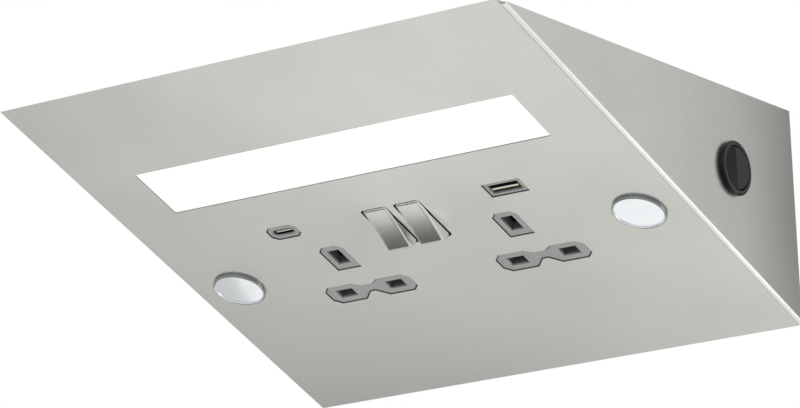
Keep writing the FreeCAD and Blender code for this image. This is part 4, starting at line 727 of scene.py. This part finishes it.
@dataclass
class Ports:
    """Both charging ports: plated shells with their tongues.

    Args:
        shell_edges: radius of the edges of each shell in mm.
        tongue_edges: radius of the edges of each tongue in mm.
        end_tilt: share of the panel's normal above which a face is the tongue's cream end; the faces below it
            are painted black as painted shade.
    """

    shell_edges: dict[str, float] = field(default_factory=lambda: {
        "usb_a_shell": 0.06, "usb_c_shell": 0.08})
    tongue_edges: dict[str, float] = field(default_factory=lambda: {
        "usb_a_insulator": 0.12, "usb_c_insulator": 0.08})
    end_tilt: float = 0.5

    def build(self) -> list[bpy.types.Object]:
        """Make the shells, and the tongues with cream ends and their other faces painted black as painted
        shade.

        Returns:
            The shells and the tongues.
        """
        shells = [soft_edged(node, "frame", edge) for node, edge in self.shell_edges.items()]
        tongues = [soft_edged(node, "frame", edge) for node, edge in self.tongue_edges.items()]
        for tongue in tongues:
            # Faces of the tongue that don't face out of the panel are painted black: painted shade inside the
            # ports.
            tongue.data.materials.append(made_of(BLACK_MOULDING))
            for face in tongue.data.polygons:
                face.material_index = int(face.normal.dot(PANEL_NORMAL) < self.end_tilt)
        return shells + tongues


@dataclass
class Rockers:
    """Both socket switches: satin steel caps with hollow faces on black cores.

    Args:
        sides: name of each side.
        cap_edge: radius of the cap's lower edge in mm.
        cap_crease: angle in degrees above which an edge of the cap is sharp.
        core_edge: radius of the core's edges in mm.
    """

    sides: tuple[str, str] = ("left", "right")
    cap_edge: float = 0.05
    cap_crease: float = 40.0
    core_edge: float = 0.1

    def build(self) -> list[bpy.types.Object]:
        """Make the caps and cores on their rockers.

        Returns:
            The caps and the cores.
        """
        caps = [soft_edged("rocker_cap_" + side, "rocker_" + side, self.cap_edge, self.cap_crease)
                for side in self.sides]
        cores = [soft_edged("rocker_core_" + side, "rocker_" + side, self.core_edge) for side in self.sides]
        return caps + cores


@dataclass
class LightSwitch:
    """Round black switch in the right cheek: bezel and rocker.

    Args:
        bezel_edge: radius of the bezel's edges in mm.
        rocker_edge: radius of the rocker's edges in mm.
    """

    bezel_edge: float = 0.45
    rocker_edge: float = 0.45

    def build(self) -> list[bpy.types.Object]:
        """Make the bezel and the rocker. Returns both."""
        return [soft_edged("light_switch_body", "frame", self.bezel_edge),
                soft_edged("light_switch_rocker", "light_rocker", self.rocker_edge)]


@dataclass
class Works:
    """The inner pieces, which keep their CAD shape and get the finish of their slot.

    Args:
        nodes: the CAD nodes by name.
    """

    nodes: dict[str, bpy.types.Object] = field(default_factory=lambda: frame["nodes"])

    def dress(self) -> None:
        """Put the finish of its slot on each CAD node."""
        for name, node in self.nodes.items():
            finish = SLOT_FINISH[SLOT_OF[name]]
            node.data.materials.clear()
            node.data.materials.append(made_of(finish))
            LOG.info("dressed %s in %s", name, finish.name)


@dataclass(frozen=True)
class Lamp:
    """A soft square lamp that the camera doesn't see.

    Args:
        name: its name.
        place: where it hangs, in metres.
        aim: the point it faces.
        size: its side in metres.
        power: its power in watts.
    """

    name: str
    place: tuple[float, float, float]
    aim: tuple[float, float, float]
    size: float
    power: float

    def hang(self) -> None:
        """Put the lamp in the scene."""
        data = bpy.data.lights.new(self.name, "AREA")
        data.shape = "SQUARE"
        data.size = self.size
        data.energy = self.power
        lamp = bpy.data.objects.new(self.name, data)
        lamp.location = self.place
        lamp.rotation_mode = "QUATERNION"
        lamp.rotation_quaternion = (Vector(self.aim) - Vector(self.place)).to_track_quat("-Z", "Y")
        lamp.visible_camera = False
        bpy.context.scene.collection.objects.link(lamp)


@dataclass(frozen=True)
class Flag:
    """A grey card that only shiny surfaces see, as a studio uses to draw an edge on metal.

    Args:
        name: its name.
        place: its middle in metres.
        aim: the point it faces.
        size: width and height in metres.
        colour: its grey as an sRGB hex.
        rough: roughness of its paint.
    """

    name: str
    place: tuple[float, float, float]
    aim: tuple[float, float, float]
    size: tuple[float, float]
    colour: str
    rough: float = 0.9

    def stand(self) -> None:
        """Put the card in the scene, unseen by the camera and by matt surfaces."""
        shape = bmesh.new()
        bmesh.ops.create_grid(shape, x_segments=1, y_segments=1, size=0.5)
        turn = (Vector(self.aim) - Vector(self.place)).to_track_quat("Z", "Y").to_matrix().to_4x4()
        scale = Matrix.Diagonal((self.size[0], self.size[1], 1, 1))
        shape.transform(Matrix.Translation(self.place) @ turn @ scale)
        mesh = bpy.data.meshes.new(self.name)
        shape.to_mesh(mesh)
        shape.free()
        card = bpy.data.objects.new(self.name, mesh)
        bpy.context.scene.collection.objects.link(card)
        card.visible_camera = card.visible_diffuse = card.visible_shadow = False
        mesh.materials.append(painted(self.name, self.colour, self.rough))


def painted(name: str, colour: str, rough: float) -> bpy.types.Material:
    """Plain matt paint for the studio.

    Args:
        name: name of the material.
        colour: its colour as an sRGB hex.
        rough: its roughness.

    Returns:
        The material.
    """
    material = bpy.data.materials.new(name)
    material.use_nodes = True
    shader = material.node_tree.nodes["Principled BSDF"]
    shader.inputs["Roughness"].default_value = rough
    shader.inputs["Base Color"].default_value = linear(colour)
    return material


@dataclass
class Studio:
    """Camera, lamps, cards, world and floor.

    Args:
        lens: focal length in mm.
        sensor: width of the sensor in mm.
        eye: where the camera stands, in metres.
        turn: the camera's turn as a quaternion.
        clip: nearest and farthest distance that it sees, in metres.
        floor_z: height of the floor in metres.
        floor_half: half the floor's side in metres.
        floor_cells: faces along the floor's side.
        floor_colour: its paint as an sRGB hex.
        floor_rough: roughness of its paint.
        sky: strength of the world on matt surfaces.
        lamps: the soft lamps.
        flags: the grey cards.
    """

    lens: float = 201.47
    sensor: float = 36.0
    eye: tuple[float, float, float] = (0.87585, -1.30289, -0.42068)
    turn: tuple[float, float, float, float] = (0.593483, 0.748103, 0.244521, 0.168315)
    clip: tuple[float, float] = (0.05, 20.0)
    floor_z: float = -0.75
    floor_half: float = 4.0
    floor_cells: int = 8
    floor_colour: str = "F4F4F2"
    floor_rough: float = 0.8
    sky: float = 0.75
    lamps: tuple[Lamp, ...] = (
        Lamp("under_lamp", (-0.33, 0.20, -0.70), (-0.33, 0.20, 0), 0.56, 0.40),
        Lamp("edge_lamp", (0.65, 0.42, -0.70), (0.65, 0.42, 0), 0.60, 0.80),
        Lamp("fold_lamp", (0.76, 0.62, -0.30), (0.1, 0, -0.03), 0.40, 1.0),
        Lamp("front_lamp", (0.3, -1.1, 0.6), (0, 0, -0.03), 0.60, 1.5),
    )
    flags: tuple[Flag, ...] = (
        Flag("front_card", (-0.42, -0.25, -0.66), (-0.42, -0.25, 0), (0.8, 0.52), "4C4C4C"),
        Flag("wall_card", (0.13, 0.50, 0.15), (0.13, 0, 0.15), (0.40, 0.34), "303030"),
        Flag("cheek_card", (0.145, 0.205, -0.03), (0.145, 0, -0.03), (0.075, 0.20), "303030"),
        Flag("back_card", (-0.62, 0.66, -0.68), (-0.62, 0.66, 0), (0.45, 0.45), "404040"),
    )

    def camera(self) -> None:
        """Set the camera at the photograph's angle."""
        data = bpy.data.cameras.new("view")
        data.lens = self.lens
        data.sensor_width = self.sensor
        data.clip_start, data.clip_end = self.clip
        eye = bpy.data.objects.new("view", data)
        eye.rotation_mode = "QUATERNION"
        eye.rotation_quaternion = Quaternion(self.turn)
        eye.location = self.eye
        bpy.context.scene.collection.objects.link(eye)
        bpy.context.scene.camera = eye

    def world(self) -> None:
        """White to the eye, in mirrors and through clear parts, and a plain level elsewhere."""
        world = bpy.data.worlds.new("studio")
        bpy.context.scene.world = world
        world.use_nodes = True
        tree = world.node_tree
        tree.nodes.clear()
        path = add(tree, "ShaderNodeLightPath").outputs
        either = add(tree, "ShaderNodeMath", {0: path["Is Camera Ray"], 1: path["Is Glossy Ray"]},
                     operation="MAXIMUM")
        seen = add(tree, "ShaderNodeMath", {0: either.outputs[0], 1: path["Is Transmission Ray"]},
                   operation="MAXIMUM")
        strength = add(tree, "ShaderNodeMapRange", {"Value": seen.outputs[0], "To Min": self.sky,
                                                    "To Max": 1.0})
        light = add(tree, "ShaderNodeBackground", {"Strength": strength.outputs[0]})
        light.inputs["Color"].default_value = (1, 1, 1, 1)
        add(tree, "ShaderNodeOutputWorld", {"Surface": light.outputs[0]})

    def floor(self) -> None:
        """A pale floor that keeps the object's shadow and can be looked through from below."""
        shape = bmesh.new()
        bmesh.ops.create_grid(shape, x_segments=self.floor_cells, y_segments=self.floor_cells,
                              size=self.floor_half)
        mesh = bpy.data.meshes.new("floor")
        shape.transform(Matrix.Translation((0, 0, self.floor_z)))
        shape.to_mesh(mesh)
        shape.free()
        floor = bpy.data.objects.new("floor", mesh)
        bpy.context.scene.collection.objects.link(floor)
        paint = painted("floor_paint", self.floor_colour, self.floor_rough)
        tree = paint.node_tree
        under = add(tree, "ShaderNodeNewGeometry").outputs["Backfacing"]
        clear = add(tree, "ShaderNodeBsdfTransparent")
        sides = add(tree, "ShaderNodeMixShader", {0: under, 1: tree.nodes["Principled BSDF"].outputs[0],
                                                  2: clear.outputs[0]})
        tree.links.new(sides.outputs[0], tree.nodes["Material Output"].inputs["Surface"])
        mesh.materials.append(paint)

    def build(self) -> None:
        """Set up the whole studio."""
        bpy.context.scene.view_settings.view_transform = "Standard"
        self.camera()
        self.world()
        self.floor()
        for lamp in self.lamps:
            lamp.hang()
        for flag in self.flags:
            flag.stand()


def main() -> None:
    """Build the studio and each sub-assembly in order."""
    logging.basicConfig(level=logging.INFO, format="%(name)s %(message)s")
    Studio().build()
    Works().dress()
    for assembly in (Fascia(), MountingBox(), ScrewCaps(), LightStrip(), SocketModule(), Ports(), Rockers(),
                     LightSwitch()):
        assembly.build()
        LOG.info("built %s", type(assembly).__name__)


if __name__ == "__main__":
    main()
